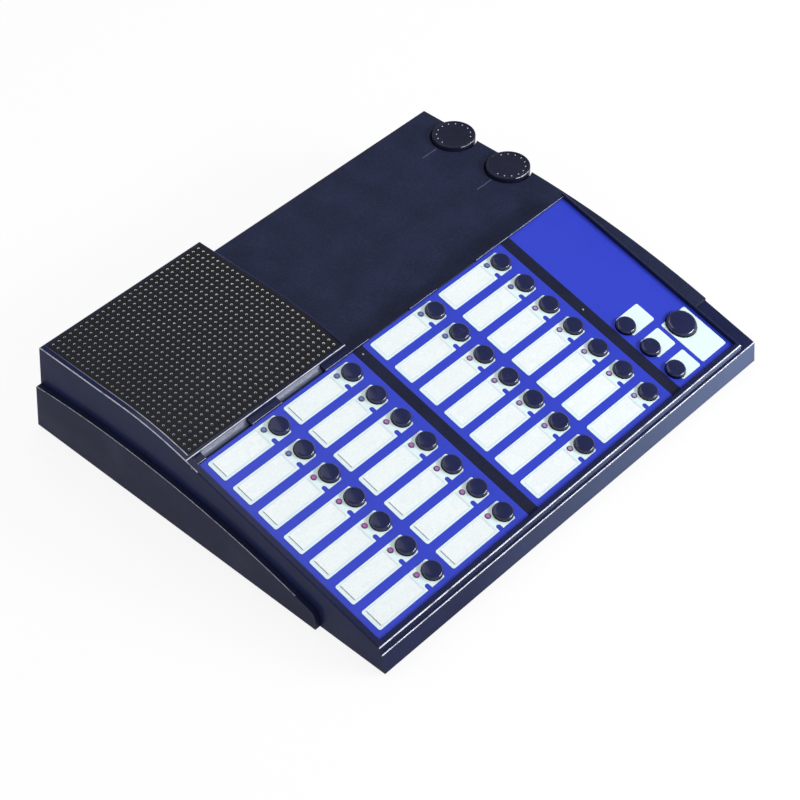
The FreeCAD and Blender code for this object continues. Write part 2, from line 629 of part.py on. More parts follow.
def lower_shell():
    left_cheek = cheek(LEFT - CHEEK_PROUD, LEFT)
    right_cheek = cheek(RIGHT, RIGHT + CHEEK_PROUD)
    floor = polygon([(CHEEK_FRONT_Y, SHELL_BOTTOM), (rear_y(SHELL_BOTTOM), SHELL_BOTTOM),
                     (rear_y(FLOOR_TOP), FLOOR_TOP), (CHEEK_FRONT_Y, FLOOR_TOP)], LEFT, RIGHT)
    inset = WALL + CLEARANCE
    tongue = polygon([(front_y(SHELL_BOTTOM, inset), SHELL_BOTTOM), (CHEEK_FRONT_Y, SHELL_BOTTOM),
                      (CHEEK_FRONT_Y, FLOOR_TOP), (front_y(FLOOR_TOP, inset), FLOOR_TOP)],
                     LEFT + inset, RIGHT - inset)
    shell = floor.fuse([tongue, left_cheek, right_cheek]).removeSplitter()
    recesses = [rod(x, y, 0, SHELL_BOTTOM + FOOT_RECESS, FOOT_DIAMETER / 2 + SCREW_FIT)
                for x, y in foot_places()]
    holes = [rod(x, y, 0, FLOOR_TOP + 1, SCREW_RADIUS + CLEARANCE) for x, y in boss_places()]
    sinks = [rod(x, y, 0, SHELL_BOTTOM + SCREW_HEAD_HEIGHT, SCREW_HEAD_DIAMETER / 2 + CLEARANCE)
             for x, y in boss_places()]
    return shell.cut(recesses + holes + sinks)


def rubber_feet():
    feet = []
    for x, y in foot_places():
        foot = rod(x, y, 0, SHELL_BOTTOM + FOOT_RECESS, FOOT_DIAMETER / 2)
        feet.append(round_edges(foot, lambda e: e.BoundBox.ZMax < TINY and len(e.Vertexes) == 1, 0.5))
    return feet


# ---- screws ----
def screw(x, y, z, length):
    """Pan-head screw pointing up, with the underside of its head at z."""
    head = rod(x, y, z - SCREW_HEAD_HEIGHT, z, SCREW_HEAD_DIAMETER / 2)
    drive = rod(x, y, z - SCREW_HEAD_HEIGHT - 1, z - SCREW_HEAD_HEIGHT / 2, SCREW_RADIUS / 2)
    return head.fuse(rod(x, y, z, z + length, SCREW_RADIUS)).cut(drive)


def case_screws():
    seat = SHELL_BOTTOM + SCREW_HEAD_HEIGHT
    length = CASE_SCREW_LENGTH + FLOOR_TOP - seat - SCREW_FIT
    return [screw(x, y, seat, length) for x, y in boss_places()]


def board_screws():
    length = BOARD_THICK + BOARD_SCREW_LENGTH - SCREW_FIT
    short = BOARD_THICK + BOARD_TOP_TO_PLATE - SCREW_FIT
    screws = [screw(x, y, CONTROL_BOTTOM, length) for x, y in control_post_places()]
    screws += [tilted(screw(x, s, BOARD_BOTTOM, short)) for x, s in plate_post_places()]
    return screws


# ---- loudspeaker ----
def speaker_grille():
    plate = box_slab(LEFT, BOX_RIGHT, 0.0, PANEL_Y, SHELL_BOTTOM).common(grille_region(CLEARANCE))
    plate = plate.cut(box_slab(LEFT - 1, BOX_RIGHT + 1, GRILLE_THICK, PANEL_Y - 1, SHELL_BOTTOM - 1))
    reach = SPEAKER_OPENING / 2 - GRILLE_HOLE
    steps = int(reach / GRILLE_PITCH) + 1
    holes = []
    for i in range(-steps, steps + 1):
        for j in range(-steps, steps + 1):
            if math.hypot(i, j) * GRILLE_PITCH < reach:
                holes.append(rod(SPEAKER_X + i * GRILLE_PITCH, SPEAKER_Y + j * GRILLE_PITCH,
                                 SPEAKER_TOP, BOX_TOP + 1, GRILLE_HOLE / 2))
    return plate.cut(holes)


def revolved(points, x, y):
    """Turn an outline of (radius, height) points about the upright through x, y."""
    wire = Part.makePolygon([V(r, 0, z) for r, z in points + points[:1]])
    return shifted(Part.Face(wire).revolve(V(0, 0, 0), V(0, 0, 1), 360), x, y)


def speaker_basket():
    rim = SPEAKER_DIAMETER / 2
    hole = SPEAKER_OPENING / 2
    neck = MAGNET_DIAMETER / 2 + 2.0
    top = SPEAKER_TOP
    low = top - SPEAKER_DEPTH
    wall = BASKET_THICK
    shoulder = top - SPEAKER_DEPTH / 4
    return revolved([(hole, top), (rim, top), (rim, top - wall), (hole + wall, top - wall),
                     (hole + wall, shoulder), (neck + wall, low), (0, low), (0, low + wall),
                     (neck, low + wall), (hole, shoulder)], SPEAKER_X, SPEAKER_Y)


def speaker_cone():
    """Paper cone with its surround, dust cap and voice coil."""
    edge = SPEAKER_OPENING / 2 - CLEARANCE
    coil = MAGNET_DIAMETER / 4
    low = SPEAKER_TOP - SPEAKER_DEPTH + BASKET_THICK
    neck = low + SPEAKER_DEPTH / 4
    top = SPEAKER_TOP - BASKET_THICK / 2
    wall = CONE_THICK
    return revolved([(edge, top), (edge, top - wall), (edge - 5 * wall, top - wall),
                     (coil + wall, neck), (coil + wall, low), (coil, low), (coil, neck + wall),
                     (0, neck + wall), (0, neck + 2 * wall), (coil, neck + 2 * wall),
                     (edge - 5 * wall, top)], SPEAKER_X, SPEAKER_Y)


def speaker_magnet():
    top = SPEAKER_TOP - SPEAKER_DEPTH
    return rod(SPEAKER_X, SPEAKER_Y, top - MAGNET_HEIGHT, top, MAGNET_DIAMETER / 2)


# ---- key plate and what lies on it ----
def call_keys():
    return [(x, s) for x in KEY_COLUMNS for s in KEY_ROWS]


def function_keys():
    return [(FUNCTION_X, -row * ROW_PITCH) for row in FUNCTION_KEY_ROWS]


def key_holes(low, high):
    holes = [rod(x, s, low, high, KEY_DIAMETER / 2 + KEY_GAP) for x, s in call_keys()]
    holes += [rod(x, s, low, high, FUNCTION_KEY_DIAMETER / 2 + KEY_GAP) for x, s in function_keys()]
    holes.append(rod(TALK_X, TALK_KEY_S, low, high, TALK_KEY_DIAMETER / 2 + KEY_GAP))
    return holes


def lamp_holes(low, high):
    radius = LAMP_DIAMETER / 2 + LAMP_GAP
    return [rod(x + LAMP_X, s + LAMP_S, low, high, radius) for x, s in call_keys()]


def window_cuts(low, high, grow):
    return [rounded_box(x + WINDOW_LEFT - grow, x + WINDOW_RIGHT + grow, s + WINDOW_BOTTOM - grow,
                        s + WINDOW_TOP + grow, low, high, WINDOW_CORNER + grow) for x, s in call_keys()]


def plate_post_places():
    xs = (PLATE_X0 + POST_INSET, DIVIDERS[0], DIVIDERS[1], PLATE_X1 - POST_END)
    ss = (-ROW_PITCH / 8, -3.5 * ROW_PITCH, KEY_ROWS[-1] - ROW_PITCH / 6)
    return [(x, s) for x in xs for s in ss]


def microphone_places():
    return DIVIDERS[1], PIN_HOLE_2_S


def key_plate():
    plate = box(PLATE_X0, PLATE_X1, PLATE_FRONT, PLATE_REAR, -PLATE_THICK, 0)
    cuts = [box(x0, x1, PLATE_FRONT, PLATE_REAR, -OVERLAY_THICK, 1) for x0, x1 in OVERLAYS]
    cuts += [box(x + WINDOW_LEFT, x + WINDOW_RIGHT, KEY_ROWS[-1] + WINDOW_BOTTOM - 1, PLATE_REAR,
                 -OVERLAY_THICK - STRIP_SLOT, 0) for x in KEY_COLUMNS]
    cuts += key_holes(-PLATE_THICK - 1, 1) + lamp_holes(-PLATE_THICK - 1, 1)
    mic_x, mic_s = microphone_places()
    cuts += [rod(DIVIDERS[0], PIN_HOLE_1_S, -PIN_HOLE, 1, PIN_HOLE / 2),
             rod(mic_x, mic_s, -PLATE_THICK - 1, 1, PIN_HOLE / 2)]
    posts = [rod(x, s, BOARD_TOP, -PLATE_THICK, POST_DIAMETER / 2) for x, s in plate_post_places()]
    collar = rod(mic_x, mic_s, -PLATE_THICK - MIC_HEIGHT, -PLATE_THICK, MIC_DIAMETER / 2 + MIC_COLLAR)
    collar = collar.cut(rod(mic_x, mic_s, BOARD_TOP, 0, MIC_DIAMETER / 2 + SCREW_FIT))
    bores = [rod(x, s, BOARD_TOP - 1, -PLATE_THICK, BORE_RADIUS) for x, s in plate_post_places()]
    solid = plate.cut(cuts).fuse(posts + [collar]).cut(bores)
    return tilted(solid)


def panel_overlays():
    cuts = key_holes(-1, 1) + lamp_holes(-1, 1) + window_cuts(-1, 1, 0.0)
    sheets = [box(x0, x1, PLATE_FRONT, PLATE_REAR, -OVERLAY_THICK, 0) for x0, x1 in OVERLAYS]
    return [tilted(sheet.cut(cuts)) for sheet in sheets]


def name_plates():
    plate = rounded_box(NAME_LEFT, NAME_RIGHT, NAME_BOTTOM, NAME_TOP, 0, NAME_THICK, NAME_CORNER)
    window = rounded_box(WINDOW_LEFT, WINDOW_RIGHT, WINDOW_BOTTOM, WINDOW_TOP, -1, 1, WINDOW_CORNER)
    half = NOTCH_WIDTH / 2
    notch = [rod(NOTCH_X, NOTCH_TOP - half, -1, 1, half),
             box(NOTCH_X - half, NOTCH_X + half, NAME_BOTTOM - 1, NOTCH_TOP - half, -1, 1)]
    holes = [rod(0, 0, -1, 1, KEY_DIAMETER / 2 + KEY_GAP),
             rod(LAMP_X, LAMP_S, -1, 1, LAMP_DIAMETER / 2 + LAMP_GAP)]
    plate = plate.cut([window] + notch + holes)
    return [tilted(shifted(plate, x, s)) for x, s in call_keys()]


def label_windows():
    pane = rounded_box(WINDOW_LEFT, WINDOW_RIGHT, WINDOW_BOTTOM, WINDOW_TOP, -OVERLAY_THICK,
                       NAME_THICK - WINDOW_SINK, WINDOW_CORNER)
    return [tilted(shifted(pane, x, s)) for x, s in call_keys()]


def label_strips():
    low = -OVERLAY_THICK - STRIP_SLOT
    front = KEY_ROWS[-1] + WINDOW_BOTTOM
    return [tilted(box(x + WINDOW_LEFT + CLEARANCE, x + WINDOW_RIGHT - CLEARANCE, front,
                       PLATE_REAR - CLEARANCE, low, low + STRIP_THICK)) for x in KEY_COLUMNS]


def function_plates():
    """Pale plates of the three function keys and the talk key."""
    keys = key_holes(-1, 1)
    talk_x0 = TALK_X + TALK_PLATE_LEFT
    ends = [talk_x0 - PLATE_SPACE] * len(FUNCTION_KEY_ROWS)
    ends[0] += FIRST_PLATE_LONGER
    plates = [rounded_box(x + FUNCTION_PLATE_LEFT, end, s + FUNCTION_PLATE_BOTTOM,
                          s + FUNCTION_PLATE_TOP, 0, NAME_THICK, NAME_CORNER)
              for (x, s), end in zip(function_keys(), ends)]
    plates.append(rounded_box(talk_x0, TALK_X + TALK_PLATE_RIGHT, TALK_KEY_S + TALK_PLATE_BOTTOM,
                              TALK_KEY_S + TALK_PLATE_TOP, 0, NAME_THICK, NAME_CORNER))
    return [tilted(plate.cut(keys)) for plate in plates]


def key(diameter, round_size):
    """A turned key: domed top with a rounded edge, and a flange under the plate."""
    radius = diameter / 2
    foot = -PLATE_THICK - FLANGE_THICK
    dome = (radius ** 2 + KEY_DOME ** 2) / (2 * KEY_DOME)
    cap = rod(0, 0, foot, KEY_RISE + KEY_DOME, radius)
    cap = cap.common(Part.makeSphere(dome, V(0, 0, KEY_RISE + KEY_DOME - dome)))
    cap = round_edges(cap, lambda e: e.BoundBox.ZMin > KEY_RISE - 0.01, round_size)
    return cap.fuse(rod(0, 0, foot, -PLATE_THICK, radius + FLANGE_LIP))


def lamp(x, s):
    """Round lamp with a domed lens in a holder on the main board, as low as the key switches."""
    radius = LAMP_DIAMETER / 2
    holder = rod(0, 0, BOARD_TOP, SWITCH_TOP, radius + HOLDER_WALL)
    lens = rod(0, 0, BOARD_TOP + LENS_SEAT, LAMP_RISE, radius)
    lens = round_edges(lens, lambda e: e.BoundBox.ZMin > LAMP_RISE - TINY, LAMP_ROUND)
    return tilted(shifted(holder.fuse(lens), x + LAMP_X, s + LAMP_S))


def lamps(rows):
    return [lamp(x, s) for x in KEY_COLUMNS for s in rows]


# ---- boards ----
def main_board():
    board = box(LEFT + MAIN_BOARD_LEFT, CONSOLE_RIGHT - MAIN_BOARD_END, PLATE_FRONT + MAIN_BOARD_EDGE,
                PLATE_REAR - MAIN_BOARD_EDGE, BOARD_BOTTOM, BOARD_TOP)
    holes = [rod(x, s, BOARD_BOTTOM - 1, BOARD_TOP + 1, SCREW_RADIUS + CLEARANCE)
             for x, s in plate_post_places()]
    return tilted(board.cut(holes))


def key_switches():
    half = SWITCH_WIDTH / 2
    places = call_keys() + function_keys() + [(TALK_X, TALK_KEY_S)]
    switches = []
    for x, s in places:
        body = box(x - half, x + half, s - half, s + half, BOARD_TOP, SWITCH_TOP - SWITCH_BUTTON)
        button = rod(x, s, SWITCH_TOP - SWITCH_BUTTON, SWITCH_TOP, half / 2)
        switches.append(tilted(body.fuse(button)))
    return switches


def control_board():
    board = box(CONTROL_X0, CONTROL_X1, CONTROL_FRONT_Y, CONTROL_REAR_Y, CONTROL_BOTTOM, CONTROL_TOP)
    holes = [rod(x, y, CONTROL_BOTTOM - 1, CONTROL_TOP + 1, SCREW_RADIUS + CLEARANCE)
             for x, y in control_post_places()]
    return board.cut(holes)


def potentiometers():
    pots = []
    bore = SHAFT_DIAMETER / 2 + SHAFT_FIT
    for x, y in knob_places():
        body = box(x - POT_WIDTH / 2, x + POT_WIDTH / 2, y - POT_DEPTH / 2, y + POT_DEPTH / 2,
                   CONTROL_TOP, CUP_BOTTOM)
        pots.append(body.cut(rod(x, y, CONTROL_TOP + SHAFT_FLOOR, CUP_BOTTOM + 1, bore)))
    return pots


def ribbon_ends():
    """Middles of the two headers' lower faces, in y and z."""
    s = -ROW_PITCH / 2
    n = BOARD_BOTTOM - HEADER_HEIGHT
    main_end = (PANEL_Y + s * math.cos(SLOPE) - n * math.sin(SLOPE),
                PANEL_Z + s * math.sin(SLOPE) + n * math.cos(SLOPE))
    control_end = (CONTROL_FRONT_Y + 2 * CONTROL_POST_INSET, CONTROL_BOTTOM - HEADER_HEIGHT)
    return main_end, control_end


def ribbon_cable():
    start, end = ribbon_ends()
    low = min(start[1], end[1]) - RIBBON_SAG
    path = [start, (start[0] + 0.3 * RIBBON_BEND, start[1] - 0.75 * RIBBON_BEND),
            (start[0] + RIBBON_BEND, low), (end[0] - RIBBON_BEND, low),
            (end[0] - 0.2 * RIBBON_BEND, end[1] - 0.6 * RIBBON_BEND), end]
    half = RIBBON_THICK / 2
    near = []
    far = []
    for i, (y, z) in enumerate(path):
        before = path[max(i - 1, 0)]
        after = path[min(i + 1, len(path) - 1)]
        turn = math.atan2(after[1] - before[1], after[0] - before[0])
        if i == 0:
            turn = -math.pi / 2 + SLOPE
        if i == len(path) - 1:
            turn = math.pi / 2
        near.append((y - half * math.sin(turn), z + half * math.cos(turn)))
        far.append((y + half * math.sin(turn), z - half * math.cos(turn)))
    centre = RIGHT - RIBBON_X
    return polygon(near + far[::-1], centre - RIBBON_WIDTH / 2, centre + RIBBON_WIDTH / 2)


def board_parts():
    """Headers, chips and capacitors under the two boards."""
    x = RIGHT - RIBBON_X
    half = RIBBON_WIDTH / 2 + HEADER_END
    s = -ROW_PITCH / 2
    y = ribbon_ends()[1][0]
    reach = HEADER_DEPTH / 2
    parts = [tilted(box(x - half, x + half, s - reach, s + reach, BOARD_BOTTOM - HEADER_HEIGHT,
                        BOARD_BOTTOM)),
             box(x - half, x + half, y - reach, y + reach, CONTROL_BOTTOM - HEADER_HEIGHT,
                 CONTROL_BOTTOM)]
    for column in DIVIDERS:
        end = column - MAIN_CHIP_X
        parts.append(tilted(box(end - MAIN_CHIP_SIDE, end, MAIN_CHIP_S - MAIN_CHIP_SIDE, MAIN_CHIP_S,
                                BOARD_BOTTOM - MAIN_CHIP_HEIGHT, BOARD_BOTTOM)))
    chip_x0 = CONTROL_X0 + CONTROL_CHIP_X
    chip_x1 = chip_x0 + CONTROL_CHIP_LENGTH
    chip_y1 = CONTROL_REAR_Y - CONTROL_CHIP_BACK
    parts.append(box(chip_x0, chip_x1, chip_y1 - CONTROL_CHIP_DEPTH, chip_y1,
                     CONTROL_BOTTOM - CONTROL_CHIP_HEIGHT, CONTROL_BOTTOM))
    for i in range(CAPACITORS):
        parts.append(rod(chip_x1 + (i + 1) * CAPACITOR_PITCH - CAPACITOR_DIAMETER / 2,
                         CONTROL_FRONT_Y + CAPACITOR_FRONT, CONTROL_BOTTOM - CAPACITOR_LENGTH,
                         CONTROL_BOTTOM, CAPACITOR_DIAMETER / 2))
    return parts


def microphone():
    x, s = microphone_places()
    return tilted(rod(x, s, -PLATE_THICK - MIC_HEIGHT, -PLATE_THICK, MIC_DIAMETER / 2))


def rear_connector():
    """Fifteen-way socket: body on the board and a D-shaped shell through the rear wall."""
    x = RIGHT - SOCKET_X
    z = CONTROL_BOTTOM - SOCKET_HEIGHT / 2
    face = rear_y(CONTROL_BOTTOM, WALL) - CLEARANCE
    body = box(x - SOCKET_WIDTH / 2, x + SOCKET_WIDTH / 2, face - SOCKET_LENGTH, face,
               z - SOCKET_HEIGHT / 2, z + SOCKET_HEIGHT / 2)
    half = SOCKET_SHELL_WIDTH / 2
    rise = SOCKET_SHELL_HEIGHT / 2
    lean = rise * math.tan(math.radians(SOCKET_TAPER))
    corners = [V(x - half, face, z + rise), V(x + half, face, z + rise),
               V(x + half - 2 * lean, face, z - rise), V(x - half + 2 * lean, face, z - rise)]
    shell = Part.Face(Part.makePolygon(corners + corners[:1])).extrude(V(0, SOCKET_SHELL_LENGTH, 0))
    edges = [e for e in shell.Edges if abs(e.tangentAt(e.FirstParameter).y) > 0.99]
    shell = shell.makeFillet(SOCKET_CORNER, edges)
    bottom = face + SOCKET_SHELL_LENGTH - CONTACT_DEPTH
    holes = []
    for row, count in ((CONTACT_ROW, 8), (-CONTACT_ROW, 7)):
        for i in range(count):
            start = V(x + (i - (count - 1) / 2) * CONTACT_PITCH, bottom, z + row)
            holes.append(Part.makeCylinder(CONTACT_HOLE / 2, CONTACT_DEPTH + 1, start, V(0, 1, 0)))
    return body.fuse(shell).cut(holes)


# ---- knobs ----
def knob(x, y):
    """Flat thumbwheel with a raised rim and its spindle."""
    radius = KNOB_DIAMETER / 2
    top = KNOB_BOTTOM + KNOB_THICK
    wheel = rod(x, y, KNOB_BOTTOM, top, radius)
    wheel = round_edges(wheel, lambda e: len(e.Vertexes) == 1 and e.BoundBox.ZMin > top - TINY,
                        KNOB_ROUND)
    dish = rod(x, y, top - KNOB_DISH, top + 1, radius - KNOB_RIM)
    spindle = rod(x, y, CONTROL_TOP + SHAFT_FLOOR + CLEARANCE, KNOB_BOTTOM, SHAFT_DIAMETER / 2)
    return wheel.cut(dish).fuse(spindle)


# ---- the whole part ----
def main():
    os.makedirs("parts", exist_ok=True)
    save("upper_housing", upper_housing())
    save("lower_shell", lower_shell())
    save("deck_cover", deck_cover())
    save("speaker_grille", speaker_grille())
    save("speaker_basket", speaker_basket())
    save("speaker_cone", speaker_cone())
    save("speaker_magnet", speaker_magnet())
    save("key_plate", key_plate())
    save("main_board", main_board())
    save("control_board", control_board())
    save("ribbon_cable", ribbon_cable())
    save("microphone", microphone())
    save("rear_connector", rear_connector())
    groups = {
        "panel_overlays": panel_overlays(), "name_plates": name_plates(),
        "label_windows": label_windows(), "label_strips": label_strips(),
        "function_plates": function_plates(), "leds_grey": lamps(KEY_ROWS[:GREY_LAMP_ROWS]),
        "leds_red": lamps(KEY_ROWS[GREY_LAMP_ROWS:]), "key_switches": key_switches(),
        "board_parts": board_parts(), "potentiometers": potentiometers(),
        "case_screws": case_screws(), "board_screws": board_screws(), "rubber_feet": rubber_feet()}
    for name, solids in groups.items():
        save(name, Part.makeCompound(solids))
    call_key = key(KEY_DIAMETER, KEY_ROUND)
    for letter, x in zip("abcd", KEY_COLUMNS):
        for row, s in enumerate(KEY_ROWS):
            save("key_%s%d" % (letter, row + 1), tilted(shifted(call_key, x, s)))
    function_key = key(FUNCTION_KEY_DIAMETER, KEY_ROUND)
    for i, (x, s) in enumerate(function_keys()):
        save("function_key_%d" % (i + 1), tilted(shifted(function_key, x, s)))
    save("talk_key", tilted(shifted(key(TALK_KEY_DIAMETER, 2 * KEY_ROUND), TALK_X, TALK_KEY_S)))
    save("knob_front", knob(*knob_places()[0]))
    save("knob_rear", knob(*knob_places()[1]))


main()
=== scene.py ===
"""Looks of the desk intercom: finishes of the moulded case, the key console and the small marks on them."""

import json
import math

import bmesh
import bpy
from mathutils import Matrix, Vector

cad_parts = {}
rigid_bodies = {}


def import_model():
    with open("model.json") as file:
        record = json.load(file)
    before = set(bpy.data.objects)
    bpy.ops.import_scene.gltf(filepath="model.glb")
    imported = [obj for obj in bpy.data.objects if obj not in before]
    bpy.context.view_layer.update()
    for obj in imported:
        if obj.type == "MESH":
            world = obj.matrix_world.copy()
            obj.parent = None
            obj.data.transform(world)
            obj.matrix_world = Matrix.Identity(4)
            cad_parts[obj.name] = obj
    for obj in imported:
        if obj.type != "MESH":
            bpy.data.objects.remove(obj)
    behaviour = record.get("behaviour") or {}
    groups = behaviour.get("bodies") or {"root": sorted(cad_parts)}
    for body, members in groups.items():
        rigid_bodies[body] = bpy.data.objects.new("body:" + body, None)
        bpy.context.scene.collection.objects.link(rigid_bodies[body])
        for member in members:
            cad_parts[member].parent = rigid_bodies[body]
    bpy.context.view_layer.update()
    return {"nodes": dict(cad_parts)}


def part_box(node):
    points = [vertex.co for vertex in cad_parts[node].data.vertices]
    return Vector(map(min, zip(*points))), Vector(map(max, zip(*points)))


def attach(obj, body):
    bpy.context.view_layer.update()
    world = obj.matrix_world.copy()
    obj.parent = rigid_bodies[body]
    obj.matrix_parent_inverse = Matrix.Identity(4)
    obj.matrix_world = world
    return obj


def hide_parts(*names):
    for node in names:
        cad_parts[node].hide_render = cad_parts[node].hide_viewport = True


bl_info = {
    "name": "Desk intercom",
    "version": (1, 0, 0),
    "blender": (4, 5, 0),
    "location": "View3D > Sidebar > Intercom",
    "description": "Finishes a desk intercom with a sloping key console and a loudspeaker box",
    "category": "Object",
}

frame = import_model()

MM = 0.001

STATIC = "intercom"

# The slope of the key console, the rear key row on the face of its plate, and the columns of keys.
SLOPE = math.radians(15.6)
ROW_ORIGIN = Vector((0.0, -0.00446, 0.04705))
COLUMNS = [-0.095375, -0.043545, 0.019105, 0.070935]
ROW_PITCH = 17.78 * MM
ROWS = 7
KEYS = ["key_%s%d" % (column, row + 1) for column in "abcd" for row in range(ROWS)]
KEYS += ["function_key_1", "function_key_2", "function_key_3", "talk_key"]

# Places of a row's pieces, from the middle of its key.
LAMP_X = -7.56 * MM
LAMP_S = 3.3 * MM
COLLAR_WALL = 0.5 * MM
COLLAR_RISE = 0.74 * MM
WINDOW_X = -25.625 * MM
WINDOW_S = 0.3 * MM
WINDOW_N = 0.15 * MM
WINDOW_SIZE = (31.0 * MM, 11.05 * MM, 0.3 * MM)
WINDOW_CORNER = 0.7 * MM
RULE_X = -10.75 * MM
# Place of the painted shadow line at the left end of each label.
STRIP_SHADOW_X = -40.3 * MM

# Pins in the key plate, along the desk and up the slope from the rear key row.
PINS = ((-30.685 * MM, 4.5 * MM), (83.795 * MM, -49.0 * MM))
PIN_RISE = 0.3 * MM

# The speaker box's top: an arc from the front up to ARC_END, and level behind it.
ARC_END = 55.5 * MM
ARC_RADIUS = (ARC_END - 8.0 * MM) / math.sin(SLOPE)
GRILLE_THICK = 2.0 * MM

# The grooves behind the labels, in console coordinates.
SCOOP_S = 11.1 * MM
SCOOP_N = 1.0 * MM
SCOOP_RADIUS = 2.46 * MM

# Long edges across the case that carry a painted highlight line: place in y and z, and half the width of
# the line.
HIGHLIT_EDGES = ((-120.55 * MM, 17.2 * MM, 0.36 * MM), (-122.45 * MM, 13.45 * MM, 0.3 * MM),
                (8.0 * MM, 53.12 * MM, 0.24 * MM), (3.94 * MM, 50.43 * MM, 0.22 * MM))

# Painted highlight lines down the left side and beside the grille: how far from the edge, and half the
# width.
# The side's line ends a little ahead of the rear wall.
SIDE_HIGHLIGHT = (0.12 * MM, 0.26 * MM)
GRILLE_HIGHLIGHT = (-0.45 * MM, 0.22 * MM)
REAR_MARGIN = 3 * MM

# Tones of edges, partly worn and partly painted highlight, of painted highlight lines, of painted
# highlights in the scoops and of painted light on the front wall.
EDGE_WEAR_AND_HIGHLIGHT_TONE = (0.05, 0.055, 0.09, 1.0)
HIGHLIGHT_TONE = (0.72, 0.74, 0.82, 1.0)
SCOOP_HIGHLIGHT_TONE = (0.52, 0.56, 0.7, 1.0)
FRONT_LIGHT_TONE = (0.165, 0.22, 0.38, 1.0)

# Knobs: the angles of the first and the last dot on each, and the depth of the dish in which they lie.
KNOBS = {"knob_front": (-175.0, 65.0), "knob_rear": (-60.0, 180.0)}
DOTS = 11
DOT_RISE = 0.16 * MM
DISH = 0.3 * MM

# Painted highlight on a knob's rim, from the middle of its top: place and reach along the desk, how far
# to the front it begins, and the heights between which it lies.
RIM_HIGHLIGHT_X = -1.2 * MM
RIM_HIGHLIGHT_REACH = 5.0 * MM
RIM_HIGHLIGHT_Y = -11.0 * MM
RIM_HIGHLIGHT_Z = (-0.6 * MM, -0.2 * MM)

# Index line beside a knob: its size, how far left of the knob it lies and how deep it is let in.
INDEX_SIZE = (11.8 * MM, 0.66 * MM, 0.42 * MM)
INDEX_X = -20 * MM
INDEX_SINK = 0.19 * MM

# The rear wall leans forward from its foot, and a post stands on it at each end of the socket.
REAR_FOOT = 124.1 * MM
REAR_LEAN = math.radians(7.8)
POST_ASIDE = 16.65 * MM
POST_RADIUS = 2.7 * MM
POST_LENGTH = 5.0 * MM
POST_SINK = 1.2 * MM

# Lamps of the stage: name, place, width, height and power in watts. All look at one point of the case.
LAMPS = (("key", (0.66, -0.95, 0.5), 0.65, 0.12, 11.5),
         ("top", (0.1, 0.35, 1.3), 1.0, 1.0, 4.5),
         ("side", (-0.9, 0.5, 0.7), 0.7, 0.15, 1.2))
LAMP_TARGET = Vector((0.0, -0.02, 0.03))
CAMERA_PLACE = (-0.60902, -0.57833, 0.82935)
CAMERA_TURNS = (45.1725, 0.5643, -46.8869)
CAMERA_LENS = 99.47
CAMERA_SHIFT = (-0.0006, -0.003)


def linear(red, green, blue):
    """A screen colour of 0 to 255 as the linear colour that a shader takes."""
    shares = [value / 255 for value in (red, green, blue)]
    return [s / 12.92 if s <= 0.04045 else ((s + 0.055) / 1.055) ** 2.4 for s in shares]


def on_console(x, s, n):
    """The place and slope at console coordinates: x along the desk, s up the slope, n square to it."""
    turn = Matrix.Rotation(SLOPE, 4, "X")
    return Matrix.Translation(ROW_ORIGIN + turn @ Vector((x, s, n))) @ turn


def beside_keys(x, s, n):
    """The same place beside each call key, given from the middle of its key."""
    return [on_console(column + x, s - row * ROW_PITCH, n) for column in COLUMNS for row in range(ROWS)]


def console_direction(direction):
    """A direction in console coordinates as a direction in space."""
    return Matrix.Rotation(SLOPE, 3, "X") @ Vector(direction)


# ---- sizes and colours ----
def colour(name, description, red, green, blue):
    return bpy.props.FloatVectorProperty(name=name, description=description, subtype="COLOR", size=3,
                                         min=0.0, max=1.0, default=linear(red, green, blue))


def length(name, description, millimetres):
    return bpy.props.FloatProperty(name=name, description=description, unit="LENGTH", min=0.0,
                                   default=millimetres * MM)


class IntercomColours(bpy.types.PropertyGroup):
    """Colours of the visible finishes."""
    housing: colour("Housing", "Upper housing and console rim", 26, 32, 66)
    shell: colour("Lower shell", "Cheeks and floor", 25, 30, 58)
    deck: colour("Deck", "Low rear deck", 31, 37, 64)
    grille: colour("Grille", "Perforated plate over the loudspeaker", 19, 20, 24)
    # The pale bevel colour is a painted highlight on the rims of the grille's holes.
    hole_highlight: colour("Punched edge", "Bevel round each hole of the grille", 168, 174, 204)
    overlay: colour("Overlay", "Blue film on the key plate", 40, 58, 190)
    plate: colour("Name plate", "Pale film under each key", 214, 232, 234)
    frame: colour("Window frame", "Clear frame round each label", 214, 226, 236)
    window: colour("Label window", "Cover over the paper label", 230, 237, 239)
    key: colour("Key", "Push keys", 32, 37, 71)
    knob: colour("Knob", "Flat thumbwheels", 30, 33, 54)
    lamp_call: colour("Call lamp", "Lamps of the five front rows", 178, 88, 160)
    lamp_line: colour("Line lamp", "Lamps of the two rear rows", 104, 114, 176)
    mark: colour("Mark", "Dots and index lines of the knobs", 190, 198, 210)


class IntercomSizes(bpy.types.PropertyGroup):
    """Sizes of the pieces that are added to the case."""
    grille_pitch: length("Grille pitch", "Distance between two holes of the grille", 3.73)
    grille_hole: length("Grille hole", "Width of a hole of the grille", 0.95)
    grille_chamfer: length("Grille chamfer", "Bevel round each hole", 0.2)
    dot: length("Knob dot", "Width of a dot on a knob", 0.75)
    dot_ring: length("Ring of dots", "Radius of the ring of dots on a knob", 9.8)
    collar: length("Lamp collar", "Outer width of the dark collar of a lamp", 3.1)
    frame: length("Window frame", "Width of the clear frame round each label", 0.6)
    pin: length("Pin", "Width of the pins in the key plate", 1.1)


